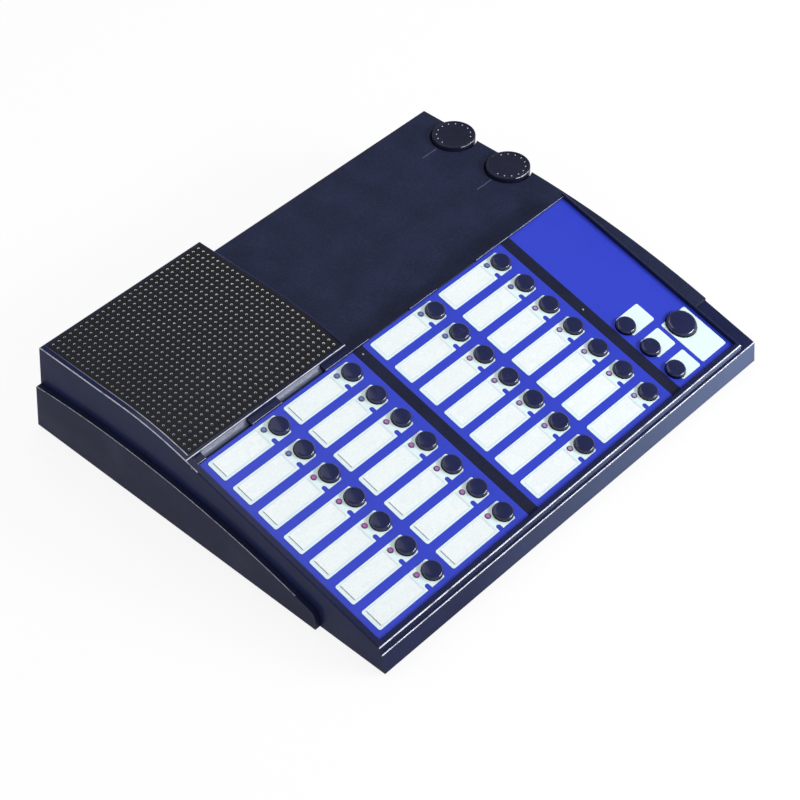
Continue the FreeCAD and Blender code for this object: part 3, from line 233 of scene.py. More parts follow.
# ---- materials ----
class Value:
    """One output of a finish's nodes, used in sums like a number."""

    def __init__(self, finish, socket):
        self.finish = finish
        self.socket = socket

    def __add__(self, other):
        return self.finish.maths("ADD", self, other)

    def __sub__(self, other):
        return self.finish.maths("SUBTRACT", self, other)

    def __rsub__(self, other):
        return self.finish.maths("SUBTRACT", other, self)

    def __mul__(self, other):
        return self.finish.maths("MULTIPLY", self, other)

    def __gt__(self, other):
        return self.finish.maths("GREATER_THAN", self, other)

    def __lt__(self, other):
        return self.finish.maths("LESS_THAN", self, other)

    def __abs__(self):
        return self.finish.maths("ABSOLUTE", self)

    __radd__ = __add__
    __rmul__ = __mul__


class Finish:
    """A procedural material on one Principled shader."""

    def __init__(self, name, constants):
        self.material = bpy.data.materials.new(name)
        self.material.use_nodes = True
        self.nodes = self.material.node_tree.nodes
        self.links = self.material.node_tree.links
        self.shader = self.nodes["Principled BSDF"]
        for socket, value in constants.items():
            self.shader.inputs[socket].default_value = value
        place = self.nodes.new("ShaderNodeTexCoord")
        self.place = Value(self, place.outputs["Object"])

    def node(self, kind, settings, sockets, output=0):
        """Add a node: first its settings, then the values or links of its sockets."""
        made = self.nodes.new(kind)
        for setting, value in settings.items():
            setattr(made, setting, value)
        for socket, value in sockets.items():
            if isinstance(value, Value):
                self.links.new(value.socket, made.inputs[socket])
            else:
                made.inputs[socket].default_value = value
        return Value(self, made.outputs[output])

    def maths(self, operation, *values):
        return self.node("ShaderNodeMath", {"operation": operation}, dict(enumerate(values)))

    def axis(self, letter):
        return self.node("ShaderNodeSeparateXYZ", {}, {0: self.place}, "XYZ".index(letter))

    def dot(self, first, second):
        """The dot product of two vectors."""
        return self.node("ShaderNodeVectorMath", {"operation": "DOT_PRODUCT"}, {0: first, 1: second}, 1)

    def normal(self):
        return self.node("ShaderNodeNewGeometry", {}, {}, 1)

    def along(self, direction):
        """How far a point lies from the rear key row in a direction of the console."""
        moved = self.node("ShaderNodeVectorMath", {"operation": "SUBTRACT"}, {0: self.place, 1: ROW_ORIGIN})
        return self.dot(moved, console_direction(direction))

    def edges(self, radius):
        """1 along the edges of a piece and 0 away from them, and the normal of its rounded edges."""
        rounded = self.node("ShaderNodeBevel", {"samples": 4}, {"Radius": radius})
        return self.ramp(1 - self.dot(rounded, self.normal()), 0.02, 0.2), rounded

    def facing(self, letter):
        """How far the surface faces along an axis, from -1 to 1."""
        return self.node("ShaderNodeSeparateXYZ", {}, {0: self.normal()}, "XYZ".index(letter))

    def level(self):
        """1 where the surface lies parallel to the console, less where it slopes."""
        return self.dot(self.normal(), console_direction((0.0, 0.0, 1.0)))

    def within(self, first, second, radius):
        """1 where a point that is this far off in two directions lies within a radius."""
        return self.maths("SQRT", first * first + second * second) < radius

    def noise(self, size, detail=3.0, stretch=(1.0, 1.0, 1.0), roughness=0.55):
        """Even noise from 0 to 1 whose spots are about size metres wide."""
        scaled = self.node("ShaderNodeVectorMath", {"operation": "MULTIPLY"}, {0: self.place, 1: stretch})
        return self.node("ShaderNodeTexNoise", {}, {"Vector": scaled, "Scale": 1 / size, "Detail": detail,
                                                    "Roughness": roughness})

    def ramp(self, value, low, high):
        """0 below low, 1 above high and even in between."""
        return self.node("ShaderNodeMapRange", {}, {"Value": value, "From Min": low, "From Max": high})

    def mix(self, share, first, second):
        return self.node("ShaderNodeMix", {"data_type": "RGBA"}, {"Factor": share, 6: first, 7: second}, 2)

    def feed(self, socket, value):
        self.links.new(value.socket, self.shader.inputs[socket])

    def tint(self, share, colour):
        """Mix a share of a further colour over the colour so far."""
        plain = Value(self, self.shader.inputs["Base Color"].links[0].from_socket)
        self.feed("Base Color", self.mix(share, plain, colour))

    def scale(self, socket, factor):
        """Multiply what feeds a socket so far."""
        plain = Value(self, self.shader.inputs[socket].links[0].from_socket)
        self.feed(socket, plain * factor)

    def paint_highlight(self, share):
        """Paint broken pale highlight streaks into the colour where share is 1."""
        breaks = self.ramp(self.noise(5.0 * MM, 4.0), 0.3, 0.5)
        # Painted highlight: a pale tone standing in for glints of the lamps.
        self.tint(share * (0.35 + breaks * 0.6), HIGHLIGHT_TONE)

    def bump(self, height, distance, rounded=None):
        sockets = {"Height": height, "Distance": distance}
        if rounded:
            sockets["Normal"] = rounded
        self.feed("Normal", self.node("ShaderNodeBump", {}, sockets))


def shade(base, factor):
    """A lighter or darker version of a colour, as a shader's four numbers."""
    return [min(1.0, part * factor) for part in base[:3]] + [1.0]


def moulded_plastic(name, base, roughness=0.5, grain=0.45, depth=0.05, mottle=0.16, specular=0.22,
                    worn=0.6, gloss=0.0):
    """Satin moulding: fine grain, slow changes of tone, paler edges that are partly wear and partly painted
    highlight, and dusty patches.
    """
    finish = Finish(name, {"Specular IOR Level": specular, "Coat Roughness": 0.15})
    fine = finish.noise(grain * MM, 4.0)
    slow = finish.noise(16 * MM, 4.0)
    rubbed = finish.ramp(finish.noise(34 * MM, 6.0, roughness=0.65), 0.5, 0.68)
    dust = finish.ramp(finish.noise(0.9 * MM, 2.0), 0.66, 0.78) * rubbed
    edge, rounded = finish.edges(worn * MM)
    tone = finish.mix(finish.ramp(slow * 0.3 + fine * 0.7, 0.3, 0.7), shade(base, 1 - mottle),
                      shade(base, 1 + mottle))
    tone = finish.mix(dust * 0.3, tone, shade(base, 2.4))
    # The paler edge tint is partly wear and partly a painted highlight along the rounded edges.
    finish.feed("Base Color", finish.mix(edge * (0.15 + slow * 0.3), tone, EDGE_WEAR_AND_HIGHLIGHT_TONE))
    finish.feed("Roughness", roughness - rubbed * 0.07 + fine * 0.1 - edge * 0.15)
    finish.feed("Coat Weight", edge * 0.7 + gloss)
    finish.bump(fine * 0.75 + slow * 0.25, depth * MM, rounded)
    return finish


def printed_film(name, base, roughness=0.34, specular=0.4, mottle=0.05):
    """Satin film with an orange-peel surface, faint cloudiness and hairline scratches."""
    finish = Finish(name, {"Specular IOR Level": specular, "Coat Roughness": 0.18})
    peel = finish.noise(1.1 * MM, 2.0)
    cloud = finish.noise(22 * MM, 4.0)
    hairs = finish.ramp(finish.noise(2.0 * MM, 3.0, (0.12, 3.2, 3.2)), 0.69, 0.74)
    tone = finish.mix(cloud, shade(base, 1 - mottle), shade(base, 1 + mottle))
    finish.feed("Base Color", finish.mix(hairs * 0.18, tone, shade(base, 1.5)))
    finish.feed("Roughness", roughness + cloud * 0.08 - hairs * 0.1)
    finish.feed("Coat Weight", 0.25 - cloud * 0.2)
    finish.bump(peel - hairs * 0.4, 0.012 * MM)
    return finish


def label_cover(name, base):
    """Pale cover with a grey rule at its right end and a painted shadow line at the left end of the paper
    strip in the two left columns.
    """
    finish = Finish(name, {"Specular IOR Level": 0.5, "Coat Roughness": 0.08, "Coat Weight": 0.4})
    x = finish.axis("X")
    fibre = finish.noise(0.8 * MM, 5.0)
    cloud = finish.noise(18 * MM, 3.0)
    rule = sum(finish.maths("COMPARE", x, column + RULE_X, 0.16 * MM) for column in COLUMNS)
    # Painted shadow: a dark line at the left end of the labels in the two left columns, where the strip's
    # edge casts shade.
    strip_shadow = sum(finish.maths("COMPARE", x, column + STRIP_SHADOW_X, 0.24 * MM) for column in COLUMNS[:2])
    tone = finish.mix(fibre * 0.85 + cloud * 0.15, shade(base, 0.8), shade(base, 1.14))
    tone = finish.mix(rule * 0.35, tone, shade(base, 0.3))
    finish.feed("Base Color", finish.mix(strip_shadow * 0.9, tone, shade(base, 0.08)))
    finish.feed("Roughness", 0.2 + cloud * 0.15)
    finish.bump(fibre * 0.3 + cloud * 0.7, 0.01 * MM)
    return finish


def polished_key(name, base):
    """Glossy key whose top is polished by fingers, with hairline scratches and a side painted dark as
    shade.
    """
    finish = Finish(name, {"Specular IOR Level": 0.2, "Coat Roughness": 0.06, "Coat IOR": 1.55})
    crown = finish.ramp(finish.along((0, 0, 1)), 0.9 * MM, 1.8 * MM)
    cloud = finish.noise(5 * MM, 4.0)
    hairs = finish.ramp(finish.noise(0.8 * MM, 3.0, (0.25, 2.2, 2.2)), 0.66, 0.74)
    grime = finish.ramp(finish.noise(9 * MM, 5.0), 0.56, 0.7)
    tone = finish.mix(cloud, shade(base, 0.85), shade(base, 1.2))
    tone = finish.mix(hairs * 0.2 + grime * 0.1, tone, shade(base, 2.4))
    # Painted shade: below the crown the side of the key is darkened to a quarter of its colour.
    finish.feed("Base Color", finish.mix(crown, shade(base, 0.25), tone))
    finish.feed("Roughness", 0.2 + grime * 0.14 + hairs * 0.12)
    finish.feed("Coat Weight", crown * (0.95 - finish.ramp(finish.level(), 0.93, 0.98) * 0.8 - grime * 0.1))
    finish.bump(cloud - hairs * 0.3, 0.01 * MM)
    return finish


def lens(name, base):
    """Tinted lamp lens with small flow marks and slow cloudiness."""
    finish = Finish(name, {"Specular IOR Level": 0.5, "Coat Weight": 0.6, "Coat Roughness": 0.05,
                           "Subsurface Weight": 0.15, "Subsurface Scale": 0.6 * MM})
    flow = finish.noise(0.7 * MM, 3.0)
    cloud = finish.noise(7 * MM, 2.0)
    tone = finish.mix(flow * 0.6 + cloud * 0.4, shade(base, 0.8), shade(base, 1.25))
    finish.feed("Base Color", tone)
    finish.feed("Roughness", 0.16 + flow * 0.12)
    finish.bump(flow, 0.02 * MM)
    return finish


def sheet_steel(name, base, along=(0.2, 3.0, 3.0), roughness=0.34):
    """Plain metal with rolling lines and dull spots."""
    finish = Finish(name, {"Metallic": 1.0})
    lines = finish.noise(0.6 * MM, 4.0, along)
    spots = finish.ramp(finish.noise(3 * MM, 5.0), 0.55, 0.72)
    tone = finish.mix(lines, shade(base, 0.86), shade(base, 1.1))
    finish.feed("Base Color", finish.mix(spots * 0.4, tone, shade(base, 0.6)))
    finish.feed("Roughness", roughness + spots * 0.2 + lines * 0.08)
    finish.bump(lines, 0.01 * MM)
    return finish


def circuit_board(name, base):
    """Green board with buried tracks in two directions and tinned pads."""
    finish = Finish(name, {"Specular IOR Level": 0.5, "Coat Weight": 0.3})
    weave = finish.noise(0.5 * MM, 2.0)
    straight = finish.maths("PINGPONG", finish.axis("X") + 0.5, 1.27 * MM) < 0.3 * MM
    across = finish.maths("PINGPONG", finish.axis("Y") + 0.5, 2.54 * MM) < 0.35 * MM
    region = finish.noise(14 * MM, 2.0) > 0.52
    tracks = straight * region + across * (1 - region)
    pads = straight * across * (finish.noise(6 * MM, 1.0) > 0.5)
    tone = finish.mix(tracks * 0.5, shade(base, 0.9), shade(base, 1.9))
    finish.feed("Base Color", finish.mix(pads, tone, (0.5, 0.5, 0.48, 1.0)))
    finish.feed("Metallic", pads * 0.9)
    finish.feed("Roughness", 0.35 + weave * 0.15)
    finish.bump(tracks * 0.7 + weave * 0.2 + pads, 0.04 * MM)
    return finish


def pressed_paper(name, base):
    """Felted cone paper with fibres in two directions."""
    finish = Finish(name, {"Specular IOR Level": 0.2})
    fibre = finish.noise(0.5 * MM, 5.0, (0.3, 1.0, 1.0))
    cross = finish.noise(0.5 * MM, 5.0, (1.0, 0.3, 1.0))
    tone = finish.mix(fibre * 0.5 + cross * 0.5, shade(base, 0.7), shade(base, 1.5))
    finish.feed("Base Color", tone)
    finish.feed("Roughness", 0.85 + fibre * 0.1)
    finish.bump(fibre + cross, 0.08 * MM)
    return finish


def flat_cable(name, base):
    """Ribbon of round cores side by side, with one marked edge."""
    finish = Finish(name, {"Specular IOR Level": 0.4})
    x = finish.axis("X")
    core = finish.maths("PINGPONG", x + 0.5, 0.635 * MM) * (1 / (0.635 * MM))
    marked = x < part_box("ribbon_cable")[0].x + 1.27 * MM
    cloud = finish.noise(6 * MM, 3.0)
    tone = finish.mix(core * 0.6 + cloud * 0.4, shade(base, 0.7), shade(base, 1.15))
    finish.feed("Base Color", finish.mix(marked, tone, (0.5, 0.03, 0.03, 1.0)))
    finish.feed("Roughness", 0.45 + cloud * 0.15)
    finish.bump(core, 0.3 * MM)
    return finish


def dress(node, finish, slot=0):
    """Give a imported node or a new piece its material."""
    materials = bpy.data.objects[node].data.materials
    if slot < len(materials):
        materials[slot] = finish.material
    else:
        materials.append(finish.material)


# ---- modelling ----
def start_clean():
    if bpy.context.mode != "OBJECT":
        bpy.ops.object.mode_set(mode="OBJECT")
    bpy.ops.object.select_all(action="DESELECT")


def choose(kind, test):
    """Select the vertices, edges or faces of the piece in edit mode that pass the test."""
    bpy.ops.mesh.select_mode(type=kind)
    bpy.ops.mesh.select_all(action="DESELECT")
    mesh = bpy.context.object.data
    shape = bmesh.from_edit_mesh(mesh)
    parts = {"VERT": shape.verts, "EDGE": shape.edges, "FACE": shape.faces}[kind]
    for part in parts:
        if test(part):
            part.select_set(True)
    shape.select_flush_mode()
    bmesh.update_edit_mesh(mesh)


def middle_z(edge):
    return (edge.verts[0].co.z + edge.verts[1].co.z) / 2


def apply_modifier(kind, settings):
    piece = bpy.context.object
    modifier = piece.modifiers.new(kind.lower(), kind)
    for setting, value in settings.items():
        setattr(modifier, setting, value)
    bpy.ops.object.modifier_apply(modifier=modifier.name)


def copies(places):
    """Copy the active piece to each place, given as a matrix, and join the copies to one piece."""
    model = bpy.context.object
    for place in places[1:]:
        bpy.ops.object.select_all(action="DESELECT")
        model.select_set(True)
        bpy.context.view_layer.objects.active = model
        bpy.ops.object.duplicate()
        bpy.context.object.matrix_world = place
        bpy.context.object["intercom_copy"] = True
    model.matrix_world = places[0]
    bpy.context.view_layer.update()
    for piece in bpy.data.objects:
        piece.select_set(piece == model or "intercom_copy" in piece)
    bpy.context.view_layer.objects.active = model
    if len(places) > 1:
        bpy.ops.object.join()
    return model


def settle(name, body, finish, angle=35.0):
    """Name the active piece, put its place in its mesh and let it ride on a body."""
    piece = bpy.context.object
    piece.name = name
    piece.data.name = name
    bpy.ops.object.transform_apply(location=True, rotation=True, scale=True)
    bpy.ops.object.mode_set(mode="EDIT")
    bpy.ops.mesh.select_all(action="SELECT")
    bpy.ops.mesh.normals_make_consistent(inside=False)
    bpy.ops.object.mode_set(mode="OBJECT")
    bpy.ops.object.shade_smooth_by_angle(angle=math.radians(angle))
    dress(name, finish)
    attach(piece, body)
    return piece


def ring(outer, inner, height, sides, bevel):
    """Flat ring standing on the origin, with its two upper edges broken."""
    start_clean()
    bpy.ops.mesh.primitive_cylinder_add(vertices=sides, radius=outer, depth=height,
                                        location=(0, 0, height / 2))
    bpy.ops.object.transform_apply(location=True)
    bpy.ops.object.mode_set(mode="EDIT")
    choose("FACE", lambda face: abs(face.normal.z) > 0.9)
    bpy.ops.mesh.inset(thickness=outer - inner)
    bpy.ops.mesh.delete(type="FACE")
    choose("EDGE", lambda edge: edge.is_boundary)
    bpy.ops.mesh.bridge_edge_loops()
    choose("EDGE", lambda edge: min(v.co.z for v in edge.verts) > height * 0.9
           and abs(edge.verts[0].co.xy.length - edge.verts[1].co.xy.length) < 1e-6)
    bpy.ops.mesh.bevel(offset=bevel, segments=2)
    bpy.ops.object.mode_set(mode="OBJECT")


def domed_dot(width, height, sides):
    """Small round dot with a raised middle, standing on the origin."""
    start_clean()
    bpy.ops.mesh.primitive_cylinder_add(vertices=sides, radius=width / 2, depth=height,
                                        location=(0, 0, height / 2))
    bpy.ops.object.transform_apply(location=True)
    bpy.ops.object.mode_set(mode="EDIT")
    choose("FACE", lambda face: face.normal.z > 0.9)
    bpy.ops.mesh.inset(thickness=width * 0.12, depth=height * 0.3)
    bpy.ops.mesh.inset(thickness=width * 0.14, depth=height * 0.15)
    bpy.ops.object.mode_set(mode="OBJECT")


# ---- operators ----
class INTERCOM_OT_case(bpy.types.Operator):
    """Finish the housing, the lower shell, the deck cover and what stands under them"""
    bl_idname = "intercom.case"
    bl_label = "Case"

    def execute(self, context):
        colours = context.scene.intercom_colours
        housing = moulded_plastic("housing_plastic", colours.housing, roughness=0.5, grain=0.8, depth=0.01,
                                  mottle=0.4, specular=0.05, gloss=0.42)
        self.paint_scoop_highlight(housing)
        self.paint_edge_highlights(housing)
        self.dull_walls_and_light_front(housing)
        dress("upper_housing", housing)
        shell = moulded_plastic("shell_plastic", colours.shell, roughness=0.55, grain=0.9, depth=0.05,
                                mottle=0.4, specular=0.1, gloss=0.03)
        self.paint_side_highlight(shell, "lower_shell", bottom=8 * MM, front=-68 * MM)
        dress("lower_shell", shell)
        deck = moulded_plastic("deck_plastic", colours.deck, roughness=0.5, grain=0.8, depth=0.02,
                               mottle=0.55, specular=0.14)
        dress("deck_cover", deck)
        rubber = moulded_plastic("foot_rubber", linear(30, 30, 32), roughness=0.8, grain=0.6, depth=0.1,
                                 mottle=0.2, specular=0.15)
        dress("rubber_feet", rubber)
        steel = sheet_steel("screw_steel", linear(165, 167, 170), along=(1.0, 1.0, 1.0))
        dress("case_screws", steel)
        dress("board_screws", steel)
        return {"FINISHED"}

    def paint_scoop_highlight(self, finish):
        """Paint a highlight into the scoops behind the left labels, in pale streaks that grow brighter
        toward their rear.
        """
        s = finish.along((0, 1, 0)) - SCOOP_S
        n = finish.along((0, 0, 1)) - SCOOP_N
        inside = finish.within(s, n, SCOOP_RADIUS)
        x = finish.axis("X")
        left = sum(finish.maths("COMPARE", x, column + WINDOW_X, WINDOW_SIZE[0] / 2)
                   for column in COLUMNS[:2])
        streaks = finish.noise(1.2 * MM, 3.0, (0.5, 1.0, 1.0))
        share = inside * left * finish.ramp(s, -0.8 * MM, 2.3 * MM)
        # Painted highlight: the pale tint stands in for the lamp's light caught in the curved scoops.
        finish.tint(share * (0.3 + streaks * 0.6), SCOOP_HIGHLIGHT_TONE)

    def paint_edge_highlights(self, finish):
        """Paint highlight lines along the long edges across the case, the upper edge of its left side and
        the grille's left border.
        """
        y = finish.axis("Y")
        z = finish.axis("Z")
        # Painted highlight: pale lines where the lamps would glint on the front edges and the speaker box's
        # front edge.
        finish.paint_highlight(sum(finish.within(y - edge_y, z - edge_z, width)
                       for edge_y, edge_z, width in HIGHLIT_EDGES))
        self.paint_side_highlight(finish, "upper_housing", bottom=40 * MM, front=0.0)
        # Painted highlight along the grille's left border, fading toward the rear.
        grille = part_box("speaker_grille")[0]
        aside, width = GRILLE_HIGHLIGHT
        border = finish.maths("COMPARE", finish.axis("X"), grille.x + aside, width)
        finish.paint_highlight(border * (z > 50 * MM) * (y > grille.y) * finish.ramp(y, 120 * MM, 20 * MM) * 0.6)

    def paint_side_highlight(self, finish, node, bottom, front):
        """Paint a highlight line along the upper edge of a moulding's left side, above a height and behind
        a place.
        """
        low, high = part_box(node)
        aside, width = SIDE_HIGHLIGHT
        y = finish.axis("Y")
        at_side = finish.maths("COMPARE", finish.axis("X"), low.x + aside, width)
        along = (y > front) * (y < high.y - REAR_MARGIN) * (finish.axis("Z") > bottom)
        # Painted highlight: a pale line on the top of the left side where the edge would catch the light.
        finish.paint_highlight(at_side * along * (finish.facing("Z") > 0.2) * 0.75)

    def dull_walls_and_light_front(self, finish):
        """The upright walls are matt, and the front one is painted lighter toward the right as painted
        light from the front right.
        """
        wall = abs(finish.facing("Z")) < 0.5
        finish.scale("Coat Weight", 1 - wall * 0.77)
        # Painted light: the front wall is tinted lighter toward the right, where the key lamp falls on it.
        lighter_to_right = wall * (finish.facing("Y") < -0.5) * finish.ramp(finish.axis("X"), -95 * MM, 120 * MM)
        finish.tint(lighter_to_right * 0.46, FRONT_LIGHT_TONE)


class INTERCOM_OT_grille(bpy.types.Operator):
    """Make the perforated plate over the loudspeaker"""
    bl_idname = "intercom.grille"
    bl_label = "Grille"

    def execute(self, context):
        colours = context.scene.intercom_colours
        sizes = context.scene.intercom_sizes
        low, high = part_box("speaker_grille")
        turn = math.asin((ARC_END - low.y) / ARC_RADIUS)
        front = ARC_END - ARC_RADIUS * turn
        pitch = sizes.grille_pitch
        columns = int((high.x - low.x) / pitch)
        rows = int((high.y - front) / pitch)
        first = Vector(((low.x + high.x - (columns - 1) * pitch) / 2,
                        (front + high.y - (rows - 1) * pitch) / 2, high.z - GRILLE_THICK))
        self.cell(first, sizes)
        for axis, count in ((0, columns), (1, rows)):
            step = [0.0, 0.0, 0.0]
            step[axis] = pitch
            apply_modifier("ARRAY", {"count": count, "use_relative_offset": False,
                                     "use_constant_offset": True, "constant_offset_displace": step})
        bpy.ops.object.mode_set(mode="EDIT")
        bpy.ops.mesh.select_all(action="SELECT")
        bpy.ops.mesh.remove_doubles(threshold=0.01 * MM)
        for axis, count, ends in ((0, columns, (low.x, high.x)), (1, rows, (front, high.y))):
            start = first[axis] - pitch / 2
            for border, target in ((start, ends[0]), (start + count * pitch, ends[1])):
                choose("VERT", lambda vert: abs(vert.co[axis] - border) < 0.05 * MM)
                move = [0.0, 0.0, 0.0]
                move[axis] = target - border
                bpy.ops.transform.translate(value=move)
        choose("EDGE", lambda edge: edge.is_boundary)
        bpy.ops.mesh.bridge_edge_loops()
        borders = [first.y + pitch * (row + 0.5) for row in range(rows)]
        borders = [border for border in borders if border < ARC_END]
        for border in borders:
            choose("VERT", lambda vert: vert.co.y < border - 0.01 * MM)
            bpy.ops.transform.rotate(value=-turn / len(borders), orient_axis="X",
                                     center_override=(0, border, high.z))
        bpy.ops.object.mode_set(mode="OBJECT")
        finish = moulded_plastic("grille_plastic", colours.grille, roughness=0.45, grain=0.5, depth=0.02,
                                 mottle=0.3, specular=0.25)
        piece = settle("grille_plate", STATIC, finish, 25.0)
        # Painted highlight: the bevel round each hole is pale, and whiter toward the right, standing in for
        # light caught in the holes.
        edges = printed_film("hole_highlight_film", colours.hole_highlight, roughness=0.3, specular=0.5, mottle=0.25)
        edges.tint(edges.ramp(edges.axis("X"), low.x, high.x) * 0.7, (0.98, 0.98, 1.0, 1.0))
        dress("grille_plate", edges, 1)
        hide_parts("speaker_grille")
        return {"FINISHED"}

    def cell(self, middle, sizes):
        """One square of the plate with its bevelled hole, from the lower face up and back down."""
        radius = sizes.grille_hole / 2
        bevel = sizes.grille_chamfer
        square = sizes.grille_pitch / 2
        start_clean()
        bpy.ops.mesh.primitive_circle_add(vertices=8, radius=radius, location=middle)
        bpy.ops.object.transform_apply(location=True)
        bpy.ops.object.mode_set(mode="EDIT")
        bpy.ops.mesh.select_all(action="SELECT")
        bpy.ops.object.material_slot_add()
        bpy.ops.object.material_slot_add()
        self.extend(middle, GRILLE_THICK - bevel, 1.0)
        self.extend(middle, bevel, 1 + bevel / radius)
        self.extend(middle, 0.0, square / (radius + bevel))
        choose("VERT", lambda vert: abs(vert.co.z - middle.z) < 0.01 * MM)
        self.extend(middle, 0.0, square / radius)
        choose("VERT", lambda vert: min(abs(vert.co.x - middle.x), abs(vert.co.y - middle.y)) > square / 2)
        bpy.ops.transform.resize(value=(math.sqrt(2), math.sqrt(2), 1), center_override=middle)
        choose("FACE", lambda face: min(vert.co.z for vert in face.verts) > middle.z + 0.1 * MM
               and max((vert.co - middle).xy.length for vert in face.verts) < square * 0.9)
        bpy.context.object.active_material_index = 1
        bpy.ops.object.material_slot_assign()
        bpy.ops.object.mode_set(mode="OBJECT")

    def extend(self, middle, rise, factor):
        """Draw the selected loop up and spread it about the middle of the hole."""
        bpy.ops.mesh.extrude_edges_move()
        bpy.ops.transform.translate(value=(0, 0, rise))
        bpy.ops.transform.resize(value=(factor, factor, 1), center_override=middle)


class INTERCOM_OT_console(bpy.types.Operator):
    """Finish the key plate, its films, the name plates and the label windows"""
    bl_idname = "intercom.console"
    bl_label = "Console"

    def execute(self, context):
        colours = context.scene.intercom_colours
        plate = moulded_plastic("key_plate_plastic", linear(27, 31, 55), roughness=0.5, grain=0.8,
                                depth=0.02, mottle=0.4, specular=0.12)
        dress("key_plate", plate)
        dress("panel_overlays", printed_film("overlay_film", colours.overlay))
        pale = printed_film("plate_film", colours.plate, roughness=0.42, specular=0.35, mottle=0.03)
        dress("name_plates", pale)
        dress("function_plates", pale)
        dress("label_windows", label_cover("window_cover", colours.window))
        dress("label_strips", pressed_paper("strip_paper", linear(238, 238, 232)))
        return {"FINISHED"}


class INTERCOM_OT_lamps(bpy.types.Operator):
    """Finish the lamps and put a dark collar round each of them"""
    bl_idname = "intercom.lamps"
    bl_label = "Lamps"

    def execute(self, context):
        colours = context.scene.intercom_colours
        call_lens = lens("call_lens", colours.lamp_call)
        lighter_to_right = call_lens.ramp(call_lens.axis("X"), COLUMNS[0], COLUMNS[3])
        call_lens.tint(lighter_to_right * 0.8, linear(172, 150, 200) + [1.0])
        dress("leds_red", call_lens)
        dress("leds_grey", lens("line_lens", colours.lamp_line))
        width = context.scene.intercom_sizes.collar
        ring(width / 2, width / 2 - COLLAR_WALL, COLLAR_RISE, sides=20, bevel=0.08 * MM)
        copies(beside_keys(LAMP_X, LAMP_S, 0))
        finish = moulded_plastic("ring_plastic", linear(74, 68, 104), roughness=0.4, grain=0.3, depth=0.01)
        settle("lamp_collars", STATIC, finish)
        return {"FINISHED"}


class INTERCOM_OT_keys(bpy.types.Operator):
    """Finish the push keys"""
    bl_idname = "intercom.keys"
    bl_label = "Keys"

    def execute(self, context):
        finish = polished_key("key_gloss", context.scene.intercom_colours.key)
        for node in KEYS:
            dress(node, finish)
        return {"FINISHED"}


class INTERCOM_OT_knobs(bpy.types.Operator):
    """Finish the knobs, and add their dots and the index lines beside them"""
    bl_idname = "intercom.knobs"
    bl_label = "Knobs"

    def execute(self, context):
        colours = context.scene.intercom_colours
        sizes = context.scene.intercom_sizes
        paint = printed_film("mark_paint", colours.mark, roughness=0.4, specular=0.3, mottle=0.06)
        lines = []
        for node, (start, end) in KNOBS.items():
            low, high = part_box(node)
            middle = (low + high) / 2
            finish = moulded_plastic(node + "_plastic", colours.knob, roughness=0.45, grain=0.6, depth=0.01,
                                     mottle=0.4, specular=0.1, gloss=0.25)
            self.paint_rim_highlight(finish, middle.x, middle.y, high.z)
            dress(node, finish)
            domed_dot(sizes.dot, DOT_RISE, 12)
            angles = [math.radians(start + (end - start) * i / (DOTS - 1)) for i in range(DOTS)]
            copies([Matrix.Translation((middle.x + sizes.dot_ring * math.cos(angle),
                                        middle.y + sizes.dot_ring * math.sin(angle), high.z - DISH))
                    for angle in angles])
            settle(node + "_dots", node, paint)
            lines.append((middle.x + INDEX_X, middle.y))
        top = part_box("deck_cover")[1].z
        start_clean()
        bpy.ops.mesh.primitive_cube_add(size=1)
        context.object.scale = INDEX_SIZE
        bpy.ops.object.transform_apply(scale=True)
        bpy.ops.object.mode_set(mode="EDIT")
        choose("EDGE", lambda edge: middle_z(edge) > 0.2 * MM)
        bpy.ops.mesh.bevel(offset=0.08 * MM, segments=2)
        bpy.ops.object.mode_set(mode="OBJECT")
        copies([Matrix.Translation((x, y, top - INDEX_SINK)) for x, y in lines])
        paint = printed_film("line_paint", linear(66, 72, 96), roughness=0.45, specular=0.3, mottle=0.06)
        settle("index_lines", STATIC, paint)
        return {"FINISHED"}

    def paint_rim_highlight(self, finish, x, y, top):
        """Paint a highlight on the front of a knob's rim, where the key lamp would glint."""
        reach = finish.maths("COMPARE", finish.axis("X"), x + RIM_HIGHLIGHT_X, RIM_HIGHLIGHT_REACH)
        front = finish.axis("Y") < y + RIM_HIGHLIGHT_Y
        z = finish.axis("Z")
        finish.paint_highlight(reach * front * (z > top + RIM_HIGHLIGHT_Z[0]) * (z < top + RIM_HIGHLIGHT_Z[1]))


class INTERCOM_OT_frames(bpy.types.Operator):
    """Put a clear bevelled frame on each label window, and a pin in each pin hole of the plate"""
    bl_idname = "intercom.frames"
    bl_label = "Window frames and pins"

    def execute(self, context):
        sizes = context.scene.intercom_sizes
        start_clean()
        bpy.ops.mesh.primitive_cube_add(size=1)
        context.object.scale = WINDOW_SIZE
        bpy.ops.object.transform_apply(scale=True)
        bpy.ops.object.mode_set(mode="EDIT")
        choose("EDGE", lambda edge: abs(edge.verts[0].co.z - edge.verts[1].co.z) > 0.1 * MM)
        bpy.ops.mesh.bevel(offset=WINDOW_CORNER, segments=4)
        choose("FACE", lambda face: abs(face.normal.z) > 0.9)
        bpy.ops.mesh.inset(thickness=sizes.frame)
        bpy.ops.mesh.delete(type="FACE")
        choose("EDGE", lambda edge: edge.is_boundary)
        bpy.ops.mesh.bridge_edge_loops()
        choose("EDGE", lambda edge: min(vert.co.z for vert in edge.verts) > 0.1 * MM
               and any(abs(face.normal.z) < 0.1 for face in edge.link_faces))
        bpy.ops.mesh.bevel(offset=0.14 * MM, segments=2)
        bpy.ops.object.mode_set(mode="OBJECT")
        copies(beside_keys(WINDOW_X, WINDOW_S, WINDOW_N))
        film = printed_film("frame_film", context.scene.intercom_colours.frame, roughness=0.2, specular=0.5,
                            mottle=0.04)
        settle("window_frames", STATIC, film)
        domed_dot(sizes.pin, PIN_RISE, 12)
        copies([on_console(x, s, 0) for x, s in PINS])
        settle("plate_pins", STATIC, sheet_steel("pin_steel", linear(205, 207, 210)))
        return {"FINISHED"}


